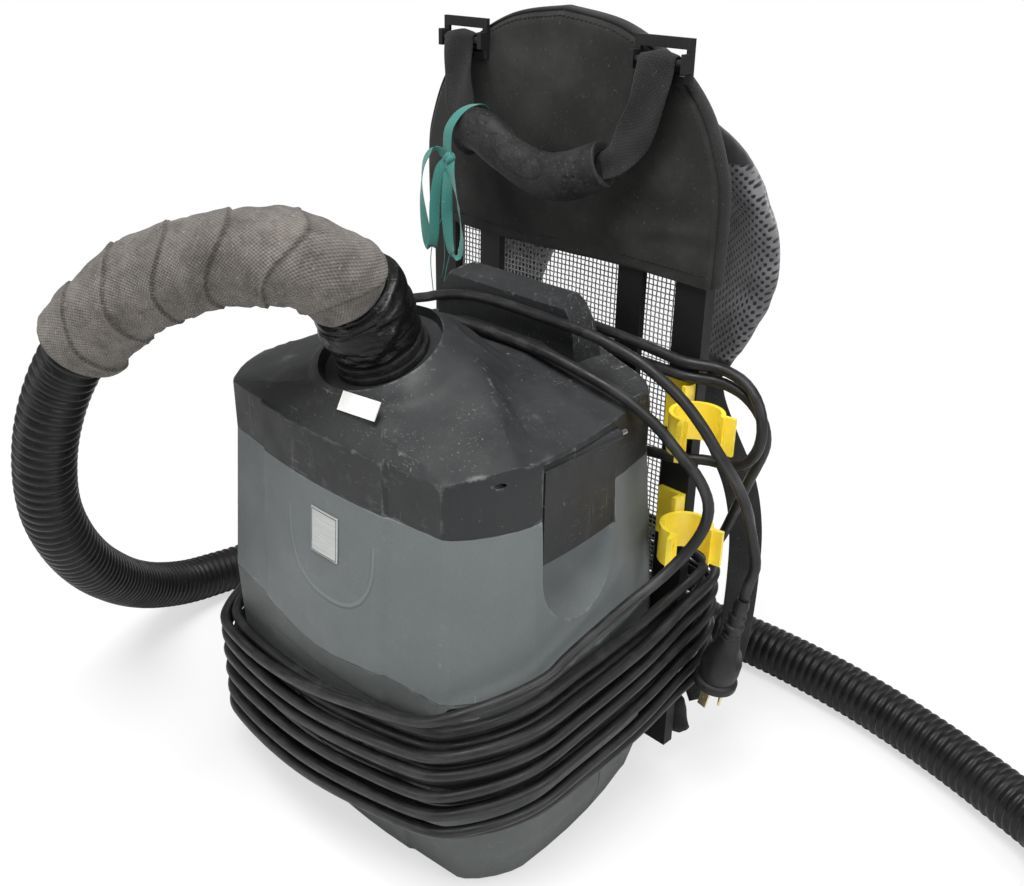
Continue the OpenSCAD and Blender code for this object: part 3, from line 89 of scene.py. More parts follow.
def smooth_line(points, step, samples=24):
    """Curve through the points at equal steps, each stretch the cubic of its ends and their neighbours."""
    p = np.asarray(points, float)
    a, b = np.vstack([p[:1], p[:-2]]), p[:-1]
    c, d = p[1:], np.vstack([p[2:], p[-1:]])
    t = np.linspace(0, 1, samples, endpoint=False)[None, :, None]
    a, b, c, d = (q[:, None, :] for q in (a, b, c, d))
    line = 0.5 * (2 * b + (c - a) * t + (2 * a - 5 * b + 4 * c - d) * t ** 2
                  + (3 * b - a - 3 * c + d) * t ** 3)
    line = np.vstack([line.reshape(-1, p.shape[1]), p[-1:]])
    run = run_along(line)
    at = np.linspace(0, run[-1], max(2, int(round(run[-1] / step))) + 1)
    return taken_at(at, run, line)


def frames_along(line, first):
    """Tangent, side and cross vector at each point; the side vector is carried on without twisting."""
    tangent = unit(np.gradient(line, axis=0))
    side = np.empty_like(line)
    n = np.asarray(first, float)
    for i, t in enumerate(tangent):
        n = n - (n @ t) * t
        n = n / np.linalg.norm(n)
        side[i] = n
    return tangent, side, np.cross(tangent, side)


def full_turn(count):
    """Angles of a whole turn, evenly spaced, without its end."""
    return np.linspace(0, WHOLE_TURN, count, endpoint=False)


# ------------------------------------------------------------------ meshes
def coordinates(mesh):
    """Places of a mesh's points in metres."""
    place = np.zeros(len(mesh.vertices) * 3)
    mesh.vertices.foreach_get("co", place)
    return place.reshape(-1, 3)


def move_points(mesh, place):
    """Puts a mesh's points at the given places in metres."""
    mesh.vertices.foreach_set("co", place.astype(np.float32).ravel())


def set_attribute(mesh, name, values):
    """Keeps one number for each point of a mesh under a name that its finish reads, 0 where none is given."""
    whole = np.zeros(len(mesh.vertices), np.float32)
    whole[:np.size(values)] = np.ravel(values)
    mesh.attributes.new(name, "FLOAT", "POINT").data.foreach_set("value", whole)


def placed(name, mesh, finish, body):
    """Piece on its body made of a mesh, smoothly shaded, with one finish."""
    mesh.materials.clear()
    mesh.materials.append(finish)
    mesh.shade_smooth()
    piece = bpy.data.objects.new(name, mesh)
    bpy.context.scene.collection.objects.link(piece)
    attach(piece, body)
    return piece


def stands_for(piece, *nodes):
    """Hides the nodes of the frame that a piece replaces; the piece itself is not used here."""
    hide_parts(*nodes)


def cell_corners(rows, cols, close_rows=False, close_cols=False):
    """Row and column of each cell's corners; a closed grid has a cell between its last and first line."""
    r = np.arange(rows if close_rows else rows - 1)[:, None]
    c = np.arange(cols if close_cols else cols - 1)[None, :]
    return [(r, c), (r, c + 1), (r + 1, c + 1), (r + 1, c)]


def cell_points(rows, cols, corners):
    """Numbers of each cell's four points in a grid that is numbered row by row."""
    return np.stack([(i % rows) * cols + j % cols for i, j in corners], axis=-1)


def mesh_of(name, points, faces):
    """Mesh of points in millimetres with the map "flow"."""
    mesh = bpy.data.meshes.new(name)
    mesh.from_pydata((points.reshape(-1, 3) * MM).tolist(), [], faces)
    mesh.uv_layers.new(name="flow")
    return mesh


def line_lengths(points, axis):
    """Distance run along one way of a grid and back to its start, as the mean over the other way."""
    first = points[:1] if axis == 0 else points[:, :1]
    steps = np.linalg.norm(np.diff(points, axis=axis, append=first), axis=2)
    return np.concatenate([[0], np.cumsum(steps.mean(axis=1 - axis))])


def surface(name, points, finish, body="machine", close_rows=False, close_cols=False, caps=False, flow=None):
    """Mesh of a grid of points in millimetres. Each cell is one face; a closed grid joins its last row or
    column to its first, and caps shut its first and last row. The map "flow" holds the millimetres run
    down the rows and along the columns, or the pair given for each point."""
    points = np.asarray(points, float)
    rows, cols = points.shape[:2]
    corners = cell_corners(rows, cols, close_rows, close_cols)
    faces = cell_points(rows, cols, corners).reshape(-1, 4).tolist()
    if caps:
        faces.append(list(range(cols))[::-1])
        faces.append([(rows - 1) * cols + k for k in range(cols)])
    if flow is None:
        down, across = line_lengths(points, 0), line_lengths(points, 1)
        pairs = [np.stack(np.broadcast_arrays(down[i], across[j]), axis=-1) for i, j in corners]
    else:
        pairs = [flow[i % rows, j % cols] for i, j in corners]
    mesh = mesh_of(name, points, faces)
    pairs = np.stack(pairs, axis=2).reshape(-1, 2)
    whole = np.zeros((len(mesh.loops), 2))
    whole[:len(pairs)] = pairs * MM
    mesh.uv_layers["flow"].data.foreach_set("uv", whole.astype(np.float32).ravel())
    return placed(name, mesh, finish, body)


def small_tubes(name, points, finish, body="machine"):
    """Many small open tubes as one mesh: each is a grid whose last column joins its first."""
    count, rows, cols = points.shape[:3]
    one = cell_points(rows, cols, cell_corners(rows, cols, close_cols=True)).reshape(-1, 4)
    faces = one[None] + rows * cols * np.arange(count)[:, None, None]
    return placed(name, mesh_of(name, points, faces.reshape(-1, 4).tolist()), finish, body)


def tube(name, line, radius, sides, finish, body="machine", first=(0, 0, 1)):
    """Round tube: at each point of the line a circle stands square to the line."""
    _, side, cross = frames_along(line, first)
    a = full_turn(sides)[None, :, None]
    ring = line[:, None] + radius * (np.cos(a) * side[:, None] + np.sin(a) * cross[:, None])
    return surface(name, ring, finish, body, close_cols=True, caps=True)


def thickened(piece, millimetres, offset):
    """Gives a surface its thickness: offset 0 centres it on the surface, -1 puts it behind."""
    solid = piece.modifiers.new("thickness", "SOLIDIFY")
    solid.thickness, solid.offset = millimetres * MM, offset


def select_only(pieces):
    """Selects the given pieces and makes the first one active."""
    bpy.ops.object.select_all(action="DESELECT")
    for piece in pieces:
        piece.select_set(True)
    bpy.context.view_layer.objects.active = pieces[0]


def joined(name, pieces):
    """Several meshes made one piece, in the place and on the body of the first."""
    for piece in pieces[1:]:
        piece.parent = None
    select_only(pieces)
    bpy.ops.object.join()
    pieces[0].name = name
    return pieces[0]


# ------------------------------------------------------------------ refined copies of CAD nodes
WELD = 0.02 * MM
FLAT_ANGLE = np.radians(1.0)
EDGE_STEP, EDGE_REACH = 3 * MM, 12 * MM
EASE_ROUNDS, EASE_SHARE, OUTER_SLOPE = 24, 0.5, 0.2


def welded(node):
    """Copy of a CAD node's mesh, and the same as an editable mesh whose loose triangles are joined."""
    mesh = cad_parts[node].data.copy()
    bm = bmesh.new()
    bm.from_mesh(mesh)
    bmesh.ops.remove_doubles(bm, verts=bm.verts, dist=WELD)
    return mesh, bm


def edge_points(bm, sharp):
    """Points every 3 mm along the outward edges that are sharper than the given angle, in metres."""
    ends = np.array([[*e.verts[0].co, *e.verts[1].co] for e in bm.edges
                     if len(e.link_faces) == 2 and e.is_convex and e.calc_face_angle(0) > np.radians(sharp)])
    share = np.linspace(0, 1, 9)[None, :, None]
    points = (ends[:, None, :3] * (1 - share) + ends[:, None, 3:] * share).reshape(-1, 3)
    return points[np.unique(np.round(points / EDGE_STEP).astype(int), axis=0, return_index=True)[1]]


def mark_edges(mesh, points):
    """Attribute "near_edge" of each point of the mesh: 1 on an outward edge, falling evenly to 0 at 12 mm."""
    place = coordinates(mesh)
    far = np.concatenate([np.sqrt(((part[:, None] - points[None]) ** 2).sum(axis=2).min(axis=1))
                          for part in np.array_split(place, max(1, len(place) // 400))])
    set_attribute(mesh, "near_edge", np.clip(1 - far / EDGE_REACH, 0, 1))


def finer(bm, longest, rounds=5):
    """Splits the edges that are longer than the given millimetres until few are left."""
    bmesh.ops.triangulate(bm, faces=[f for f in bm.faces if len(f.verts) > 4])
    for _ in range(rounds):
        long_edges = [e for e in bm.edges if e.calc_length() > longest * MM]
        if not long_edges:
            break
        bmesh.ops.subdivide_edges(bm, edges=long_edges, cuts=1, use_grid_fill=True)
        bmesh.ops.triangulate(bm, faces=[f for f in bm.faces if len(f.verts) > 4])


def eased(bm, share):
    """Moves the outer vertices towards the mean of their neighbours, each by the share that its place gives,
    so that two skins that cross at a low angle meet in one soft valley."""
    bm.verts.index_update()
    bm.normal_update()
    at = np.array([v.co for v in bm.verts]) / MM
    up = np.array([v.normal.z for v in bm.verts]) > OUTER_SLOPE
    moving = np.where(up, share(at), 0.0)
    ends = np.array([[v.index for v in e.verts] for e in bm.edges])
    count = np.bincount(ends.ravel(), minlength=len(at))[:, None]
    for _ in range(EASE_ROUNDS):
        total = np.zeros_like(at)
        np.add.at(total, ends[:, 0], at[ends[:, 1]])
        np.add.at(total, ends[:, 1], at[ends[:, 0]])
        at += EASE_SHARE * moving[:, None] * (total / count - at)
    for vert, place in zip(bm.verts, at):
        vert.co = place * MM


def refined(node, finish, bevel, body="machine", steps=2, sharp=32.0, wear=0.0, ease=None):
    """Copy of a rigid node with its loose triangles joined, flat faces merged and its edges rounded. Where
    its edges wear, the mesh is split to the given millimetres and told how near each point is to an edge. A
    share given for easing smooths its skin where that is above 0."""
    mesh, bm = welded(node)
    bmesh.ops.dissolve_limit(bm, angle_limit=FLAT_ANGLE, verts=bm.verts, edges=bm.edges)
    points = edge_points(bm, sharp) if wear else None
    edges = [e for e in bm.edges if len(e.link_faces) == 2 and e.calc_face_angle(0) > np.radians(sharp)]
    bmesh.ops.bevel(bm, geom=edges, offset=bevel * MM, offset_type="OFFSET", segments=steps,
                    profile=0.5, affect="EDGES", clamp_overlap=True)
    if wear:
        finer(bm, wear)
    if ease:
        eased(bm, ease)
    bm.to_mesh(mesh)
    bm.free()
    if wear:
        mark_edges(mesh, points)
    piece = placed(node + "_finished", mesh, finish, body)
    mesh.set_sharp_from_angle(angle=np.radians(sharp))
    piece.modifiers.new("normals", "WEIGHTED_NORMAL").keep_sharp = True
    stands_for(piece, node)


# ------------------------------------------------------------------ finishes
class NodeTree:
    """A node tree, with short ways to add its nodes."""

    def __init__(self, tree):
        self.tree = tree

    def add(self, kind, given=None, **settings):
        node = self.tree.nodes.new(kind)
        for key, value in settings.items():
            setattr(node, key, value)
        for key, value in (given or {}).items():
            self.give(node.inputs[key], value)
        return node

    def give(self, socket, value):
        if isinstance(value, bpy.types.NodeSocket):
            self.tree.links.new(value, socket)
        elif hasattr(socket.default_value, "__len__") and not hasattr(value, "__len__"):
            socket.default_value = [value] * len(socket.default_value)
        elif hasattr(value, "__len__") and len(socket.default_value) == 4:
            socket.default_value = (*value[:3], 1.0)
        else:
            socket.default_value = value

    def math(self, operation, a, b=0.0):
        return self.add("ShaderNodeMath", {0: a, 1: b}, operation=operation).outputs[0]

    def times(self, a, b):
        return self.math("MULTIPLY", a, b)

    def plus(self, a, b):
        return self.math("ADD", a, b)

    def less(self, a, b):
        return self.math("SUBTRACT", a, b)

    def larger(self, a, b):
        return self.math("MAXIMUM", a, b)

    def smaller(self, a, b):
        return self.math("MINIMUM", a, b)

    def size(self, a):
        return self.math("ABSOLUTE", a)


class Finish(NodeTree):
    """One material: a node tree that ends in one shader. A share is a value from 0 to 1."""

    def __init__(self, name, roughness=0.5, metal=0.0, specular=0.5, sheen=0.0):
        self.material = bpy.data.materials.new(name)
        self.material.use_nodes = True
        super().__init__(self.material.node_tree)
        self.shader = self.tree.nodes["Principled BSDF"]
        for key, value in (("Roughness", roughness), ("Metallic", metal),
                           ("Specular IOR Level", specular), ("Sheen Weight", sheen)):
            self.shader.inputs[key].default_value = value
        self.place = self.add("ShaderNodeTexCoord").outputs["Object"]

    def noise(self, scale, detail=3.0, rough=0.55, place=None, distortion=0.0):
        given = {"Vector": place or self.place, "Scale": scale, "Detail": detail, "Roughness": rough,
                 "Distortion": distortion}
        return self.add("ShaderNodeTexNoise", given).outputs["Fac"]

    def stretched(self, scale, turn=(0.0, 0.0, 0.0), place=None):
        given = {"Vector": place or self.place, "Scale": scale, "Rotation": turn}
        return self.add("ShaderNodeMapping", given).outputs["Vector"]

    def span(self, value, low, high, first=0.0, last=1.0):
        """The value's stretch from low to high, laid out from first to last."""
        given = {"Value": value, "From Min": low, "From Max": high, "To Min": first, "To Max": last}
        return self.add("ShaderNodeMapRange", given).outputs["Result"]

    def patches(self, scale, detail, rough, low, high, first=0.0, last=1.0):
        """Cloudy pattern: noise whose stretch from low to high is laid out from first to last."""
        return self.span(self.noise(scale, detail, rough), low, high, first, last)

    def blend(self, share, a, b):
        return self.add("ShaderNodeMix", {0: share, 6: a, 7: b}, data_type="RGBA").outputs[2]

    def covered(self, colour, share, over):
        """A colour under another one that covers it by a share made of two factors."""
        return self.blend(self.times(*share), colour, over)

    def axes(self, vector):
        return self.add("ShaderNodeSeparateXYZ", {"Vector": vector}).outputs

    def attribute(self, name):
        return self.add("ShaderNodeAttribute", attribute_name=name, attribute_type="GEOMETRY").outputs["Fac"]

    def flow(self):
        return self.add("ShaderNodeUVMap", uv_map="flow").outputs["UV"]

    def threads(self, pitch_mm):
        """Two crossed waves on the piece's own map, each changing its sign once a pitch."""
        turns = 1000.0 / pitch_mm
        at = self.axes(self.stretched((turns, turns, 1), place=self.flow()))
        return [self.math("SINE", self.times(at[axis], np.pi)) for axis in ("X", "Y")]

    def colour(self, value):
        self.give(self.shader.inputs["Base Color"], value)

    def roughness(self, value):
        self.give(self.shader.inputs["Roughness"], value)

    def bump(self, height, distance, strength=1.0, under=None):
        node = self.add("ShaderNodeBump", {"Height": height, "Distance": distance, "Strength": strength})
        if under is not None:
            self.give(node.inputs["Normal"], under)
        self.give(self.shader.inputs["Normal"], node.outputs["Normal"])
        return node.outputs["Normal"]


# The arc's middle and half size across and up, and where it starts to show and is whole, in metres
ARC_MIDDLE, ARC_HALF, ARC_POWER = (0.012, 0.222), (0.0385, 0.042), 2.4
FRONT_SKIN_Y, FRONT_FACE_Y, ARC_TOP_Z, ARC_FULL_Z = -0.080, -0.084, 0.231, 0.225
SCRATCH_WAYS = (((26, 900, 900), (0.3, 0.5, 0.9)), ((900, 30, 900), (1.1, 0.2, 0.4)),
                ((700, 700, 22), (0.5, 0.9, 0.2)))
DUST_GREY = [0.25, 0.25, 0.245]


def raised_arc(f):
    """Height of the arc moulded on the housing's front: a thin band along the lower half of a rounded
    outline, whose distances across and up, each over its half size and to the power 2.4, add up to 1."""
    at = f.axes(f.place)
    shares = [f.math("POWER", f.size(f.math("DIVIDE", f.less(at[axis], middle), half)), ARC_POWER)
              for axis, middle, half in zip("XZ", ARC_MIDDLE, ARC_HALF)]
    outline = f.plus(*shares)
    band = f.times(f.span(outline, 0.88, 0.97), f.span(outline, 1.12, 1.03))
    front = f.times(f.span(at["Y"], FRONT_SKIN_Y, FRONT_FACE_Y), f.span(at["Z"], ARC_TOP_Z, ARC_FULL_Z))
    return f.times(band, front)


def moulded_plastic(name, base, pale, roughness, grain, scuffs, dust, spots, arc=False):
    """Moulded plastic: a fine grain, cloudy wear, pale scuffs and scratches in three directions, and dust;
    with arc, a painted highlight along the raised arc on the housing's front.
    """
    f = Finish(name, roughness=roughness, specular=0.21)
    shade = f.blend(f.patches(9, 5, 0.6, 0.35, 0.7), base, [c * 1.22 for c in base])
    shade = f.covered(shade, (f.patches(900, 2, 0.5, 0.35, 0.65), 0.16), [c * 1.6 for c in base])
    lines = [f.span(f.noise(1.0, 2, 0.5, f.stretched(scale, turn)), 0.665, 0.72)
             for scale, turn in SCRATCH_WAYS]
    scratch = f.times(f.larger(f.larger(lines[0], lines[1]), lines[2]), f.patches(22, 4, 0.65, 0.5, 0.72))
    rub = f.times(f.patches(60, 6, 0.72, 0.58, 0.78), f.patches(14, 3, 0.5, 0.45, 0.65))
    speck = f.times(f.patches(260, 3, 0.6, 0.68, 0.74), spots)
    marks = f.larger(f.larger(scratch, f.times(rub, 0.55)), speck)
    edge = f.plus(f.attribute("near_edge"), f.patches(90, 5, 0.7, 0.3, 0.7, -0.2, 0.12))
    worn = f.times(f.span(edge, 0.86, 1.0), f.patches(16, 3, 0.6, 0.42, 0.66, 0.0, 0.55))
    marks = f.smaller(f.plus(f.times(marks, scuffs), worn), 1.0)
    shade = f.blend(marks, shade, pale)
    up = f.axes(f.add("ShaderNodeNewGeometry").outputs["Normal"])["Z"]
    film = f.times(f.span(up, 0.2, 0.95), f.patches(30, 5, 0.65, 0.3, 0.75))
    shade = f.covered(shade, (film, dust), DUST_GREY)
    f.colour(shade)
    dull = f.patches(40, 4, 0.6, 0.3, 0.7, roughness - 0.08, roughness + 0.1)
    f.roughness(f.plus(dull, f.times(marks, 0.2)))
    under = f.bump(f.noise(1500, 2, 0.5), 0.0002 * grain, 0.35)
    under = f.bump(f.times(scratch, -1.0), 0.00008, 0.5, under)
    if arc:
        height = raised_arc(f)
        # Painted highlight: the raised arc is coloured lighter than the plastic round it, for the light its
        # relief catches.
        f.colour(f.covered(shade, (height, 0.3), [c * 2.2 for c in base]))
        f.bump(height, 0.0009, 0.9, under)
    return f.material


def rubber(name, base, roughness=0.62, dust=0.08):
    """Black rubber with a dull bloom and a little dust in patches."""
    f = Finish(name, roughness=roughness, specular=0.25)
    shade = f.covered(base, (f.patches(120, 5, 0.65, 0.4, 0.75), dust * 2), [0.13, 0.125, 0.12])
    f.colour(f.covered(shade, (f.patches(700, 3, 0.6, 0.6, 0.7), dust * 2), [0.3, 0.29, 0.28]))
    f.roughness(f.patches(60, 3, 0.55, 0.3, 0.7, roughness - 0.1, roughness + 0.12))
    f.bump(f.noise(1400, 2), 0.0001, 0.4)
    return f.material


def woven(name, warp, weft, pitch_mm, dust, relief=0.22, sheen=0.08):
    """Cloth woven square on the piece's own map: two crossed waves lift the warp and the weft in turn, and
    painted shade darkens the gaps between the threads.
    """
    f = Finish(name, roughness=0.85, specular=0.25, sheen=sheen)
    along, across = f.threads(pitch_mm)
    over = f.span(f.times(along, across), -0.4, 0.4)
    tone = f.blend(over, warp, weft)
    lift = f.larger(f.size(along), f.size(across))
    # Painted shade: a darker copy of the warp where neither thread is raised, in the gaps of the weave.
    tone = f.blend(f.span(lift, 0.45, 0.95, 0.55, 0.0), tone, [c * 0.35 for c in warp])
    lint = f.times(f.patches(420, 4, 0.7, 0.62, 0.72), dust * 3)
    haze = f.times(f.patches(26, 5, 0.65, 0.42, 0.75), dust)
    f.colour(f.blend(f.smaller(f.plus(lint, haze), 1.0), tone, [0.33, 0.32, 0.31]))
    f.bump(f.plus(lift, f.times(over, 0.4)), relief * MM, 0.7)
    return f.material


def coarse_cloth(name, pitch_mm=1.05):
    """Coarse tape bound round the hose: grey-brown weave with worn, dark and pale patches, painted shade in
    the sunken squares of the weave and painted shade along the step at each turn's edge.
    """
    f = Finish(name, roughness=0.92, specular=0.15, sheen=0.15)
    lift = f.times(*f.threads(pitch_mm))
    tone = f.blend(f.patches(34, 6, 0.7, 0.3, 0.72), [0.085, 0.076, 0.068], [0.225, 0.205, 0.182])
    tone = f.covered(tone, (f.patches(90, 5, 0.75, 0.5, 0.68), 0.6), [0.055, 0.05, 0.046])
    # Painted shade: near black on the squares that the weave's relief sinks.
    tone = f.blend(f.span(lift, -0.5, 0.6, 0.35, 0.0), tone, [0.03, 0.028, 0.026])
    tone = f.covered(tone, (f.patches(500, 3, 0.7, 0.6, 0.72), 0.5), [0.36, 0.33, 0.30])
    # Painted shade: the attribute "fold" darkens the cloth along the step at each turn's edge.
    f.colour(f.blend(f.attribute("fold"), tone, [0.02, 0.018, 0.017]))
    under = f.bump(f.noise(240, 5, 0.7), 0.0009, 0.6)
    f.bump(lift, 0.0004, 0.8, under)
    return f.material


def glossy_tape(name):
    """Black tape: smooth and shining, with small wrinkles and smears of dust."""
    f = Finish(name, roughness=0.26, specular=0.24)
    smear = f.patches(55, 6, 0.7, 0.55, 0.75)
    f.colour(f.covered([0.005, 0.005, 0.0055], (smear, 0.10), [0.12, 0.115, 0.11]))
    f.roughness(f.patches(80, 4, 0.55, 0.3, 0.7, 0.16, 0.42))
    f.bump(f.noise(1.0, 4, 0.6, f.stretched((120, 120, 300))), 0.0012, 0.55)
    return f.material


def ribbed_plastic(name):
    """Hose plastic: near black and half glossy, with dust settled in the grooves."""
    f = Finish(name, roughness=0.36, specular=0.2)
    dust = f.times(f.attribute("groove"), f.patches(70, 5, 0.65, 0.35, 0.75))
    shade = f.covered([0.007, 0.007, 0.0073], (dust, 0.16), [0.15, 0.145, 0.135])
    f.colour(f.covered(shade, (f.patches(600, 3, 0.6, 0.64, 0.72), 0.12), [0.3, 0.29, 0.28]))
    f.roughness(f.patches(50, 4, 0.55, 0.3, 0.7, 0.26, 0.5))
    f.bump(f.noise(500, 3), 0.0002, 0.3)
    return f.material


def cord_jacket(name):
    """Cord sheath: dark flexible plastic, dulled by dust and grey scuffs that follow its length."""
    f = Finish(name, roughness=0.42, specular=0.3)
    streak = f.span(f.noise(1.0, 4, 0.65, f.stretched((30, 500, 1), place=f.flow())), 0.52, 0.72)
    shade = f.covered([0.011, 0.011, 0.012], (streak, 0.25), [0.12, 0.118, 0.115])
    f.colour(f.covered(shade, (f.patches(45, 5, 0.7, 0.5, 0.75), 0.3), [0.09, 0.086, 0.08]))
    f.roughness(f.patches(90, 4, 0.55, 0.3, 0.7, 0.34, 0.62))
    f.bump(f.noise(900, 2), 0.0001, 0.3)
    return f.material


def clip_plastic(name):
    """Yellow moulded clip: bright and glossy, with patches of grime."""
    f = Finish(name, roughness=0.3, specular=0.5)
    f.shader.inputs["Subsurface Weight"].default_value = 0.12
    f.shader.inputs["Subsurface Scale"].default_value = 4 * MM
    tone = f.blend(f.patches(40, 4, 0.6, 0.3, 0.7), [0.83, 0.60, 0.022], [0.95, 0.76, 0.07])
    f.colour(f.covered(tone, (f.patches(130, 6, 0.75, 0.62, 0.76), 0.55), [0.16, 0.11, 0.03]))
    f.roughness(f.patches(60, 4, 0.55, 0.3, 0.7, 0.22, 0.48))
    f.bump(f.noise(300, 3), 0.00012, 0.3)
    return f.material


def metal(name, base, roughness=0.32):
    """Plain metal with fine turning lines."""
    f = Finish(name, roughness=roughness, metal=1.0)
    lines = f.noise(1.0, 3, 0.6, f.stretched((60, 60, 2400)))
    f.colour(f.blend(f.span(lines, 0.3, 0.7), [c * 0.75 for c in base], base))
    f.roughness(f.patches(90, 3, 0.55, 0.3, 0.7, roughness - 0.1, roughness + 0.15))
    f.bump(lines, 0.00004, 0.4)
    return f.material


def fleece(name, base, scale=260.0):
    """Matted filter fleece or paper: a soft fibre pattern."""
    f = Finish(name, roughness=0.95, specular=0.1, sheen=0.1)
    fibre = f.noise(scale, 6, 0.75, distortion=1.5)
    f.colour(f.blend(f.span(fibre, 0.3, 0.7), [c * 0.7 for c in base], base))
    f.bump(fibre, 0.0006, 0.6)
    return f.material


BADGE_WIDE, BADGE_HIGH = 25.0, 29.0


def badge_film(name):
    """Bare silver badge: brushed film with a thin dark line round its edge, read from the piece's own map."""
    f = Finish(name, roughness=0.38, metal=0.6)
    at = f.axes(f.flow())
    lines = f.noise(1.0, 3, 0.6, f.stretched((90, 90, 2600)))
    tone = f.blend(f.span(lines, 0.3, 0.7), [0.34, 0.35, 0.34], [0.5, 0.51, 0.5])
    inset = f.smaller(*(f.less(half, f.size(f.less(at[axis], half)))
                        for axis, half in (("X", BADGE_WIDE / 2 * MM), ("Y", BADGE_HIGH / 2 * MM))))
    ring = f.times(f.span(inset, 0.9 * MM, 1.1 * MM), f.span(inset, 1.6 * MM, 1.4 * MM))
    f.colour(f.blend(ring, tone, [0.02, 0.02, 0.02]))
    return f.material


HOLE_PITCH, HOLE_SLOPE = 5.2 * MM, 0.3
# Heights at which the black cap and the plain end start and are whole, in metres
CAP_Z, CAP_FULL_Z, END_Z, END_FULL_Z = 0.4135, 0.4155, 0.2955, 0.2935


def air_mesh(name):
    """Spacer cloth of the pads: even rows of holes in a pale grey knit, where one wave across the pad
    times one down it is high, with painted shade darkening the holes, a plain black cap above and a plain end
    below."""
    f = Finish(name, roughness=0.9, specular=0.2, sheen=0.3)
    at = f.axes(f.place)
    down = f.less(at["Z"], f.times(at["Y"], HOLE_SLOPE))
    rows = [f.math("SINE", f.times(way, WHOLE_TURN / HOLE_PITCH)) for way in (at["X"], down)]
    deep = f.span(f.times(*rows), 0.12, 0.5)
    knit = f.blend(f.patches(60, 4, 0.6, 0.3, 0.7), [0.075, 0.075, 0.081], [0.16, 0.16, 0.168])
    # Painted shade: the holes are coloured near black by their depth.
    knit = f.blend(deep, knit, [0.01, 0.01, 0.011])
    plain = f.larger(f.span(at["Z"], CAP_Z, CAP_FULL_Z), f.span(at["Z"], END_Z, END_FULL_Z))
    f.colour(f.blend(plain, knit, [0.011, 0.011, 0.0115]))
    f.bump(f.larger(f.less(1.0, deep), plain), 0.0007, 0.8)
    return f.material


LID = moulded_plastic("lid_plastic", [0.019, 0.0198, 0.0208], [0.24, 0.24, 0.235],
                      roughness=0.46, grain=1.0, scuffs=0.8, dust=0.085, spots=0.5)
UPPER = moulded_plastic("upper_plastic", [0.104, 0.115, 0.117], [0.33, 0.345, 0.345],
                        roughness=0.5, grain=0.8, scuffs=0.34, dust=0.06, spots=0.2, arc=True)
LOWER = moulded_plastic("lower_plastic", [0.07, 0.076, 0.075], [0.3, 0.31, 0.31],
                        roughness=0.5, grain=0.8, scuffs=0.42, dust=0.08, spots=0.3)
FRAME_PLASTIC = moulded_plastic("frame_plastic", [0.009, 0.009, 0.0095], [0.16, 0.16, 0.16],
                                roughness=0.5, grain=1.0, scuffs=0.22, dust=0.06, spots=0.35)
RUBBER = rubber("rubber", [0.011, 0.011, 0.0115])
WEBBING = woven("web_fabric", [0.008, 0.008, 0.0083], [0.012, 0.012, 0.0125], 1.3, dust=0.05, relief=0.35)
COVER_CLOTH = woven("cover_cloth", [0.011, 0.0112, 0.0102], [0.017, 0.0172, 0.0158], 0.55, dust=0.055,
                    relief=0.12)
PAD_BLACK = woven("pad_cloth", [0.01, 0.01, 0.0105], [0.016, 0.016, 0.0165], 0.7, dust=0.06, relief=0.16)
NET_THREAD = woven("net_thread", [0.3, 0.3, 0.305], [0.42, 0.42, 0.425], 0.6, dust=0.2, sheen=0.25)
TEAL = woven("green_ribbon", [0.022, 0.155, 0.13], [0.05, 0.25, 0.215], 0.9, dust=0.12, relief=0.12,
             sheen=0.25)
AIR_MESH = air_mesh("pad_mesh")
CLOTH_WRAP = coarse_cloth("cloth_wrap")
TAPE = glossy_tape("tape_film")
HOSE_PLASTIC = ribbed_plastic("hose_plastic")
CORD = cord_jacket("cord_jacket")
CLIP = clip_plastic("yellow_plastic")
STEEL = metal("steel", [0.6, 0.6, 0.61])
BRASS = metal("brass", [0.72, 0.60, 0.34], 0.28)
ZINC = metal("zinc_sheet", [0.55, 0.56, 0.57], 0.42)
ALLOY = metal("alloy", [0.7, 0.7, 0.72])
LAMINATIONS = metal("laminations", [0.30, 0.2, 0.14], 0.5)
FLEECE = fleece("filter_fleece", [0.72, 0.73, 0.71])
BAG_PAPER = fleece("bag_paper", [0.62, 0.52, 0.36])
CARD = fleece("card", [0.42, 0.32, 0.2], 90.0)
LABEL = fleece("white_film", [0.82, 0.82, 0.8], 40.0)
BADGE = badge_film("badge_film")


# ------------------------------------------------------------------ mains cord
# Sizes of the casing that the cord is wound on, in millimetres
CORD_D = 6.8
SIDE_X, FRONT_Y, FLARE = 120.0, 93.0, 7.5
CREASE_X, SHOULDER_Y = 97.5, 10.0
RAIL_X, RAIL_BACK_Y, PANEL_Y = 120.0, 112.0, 103.0
WIND_GAP = CORD_D / 2 + 0.9
WIND_X, WIND_Y = SIDE_X + FLARE + WIND_GAP, FRONT_Y + FLARE + WIND_GAP
CREASE = np.array([CREASE_X + 0.6 * FLARE, SHOULDER_Y - FRONT_Y - FLARE])
RAIL = np.array([RAIL_X + WIND_GAP, RAIL_BACK_Y])
WIND_STOPS = [(56, 3 - WIND_Y), CREASE + (1.5, -5), CREASE + (6.5, -1.5), (121.8, -72),
              (WIND_X - 0.5, -44), (WIND_X, -28), (WIND_X, 40),
              RAIL + (2, -20), RAIL + (-0.5, 8), (104, 140)]
BEHIND_Y = 145.0
HARNESS_Y, HARNESS_FADE = 90, 40
TURN_STATIONS = 2 * len(WIND_STOPS) + 2
BUNDLE_MID = np.array([88, 98, 107, 109, 111, 113, 116, 123, 128, 130, 128, 122,
                       120, 114, 108, 97, 87, 84, 81, 79, 78, 81.0])
CORD_LOOPS, INNER_LOOPS = 13, 7
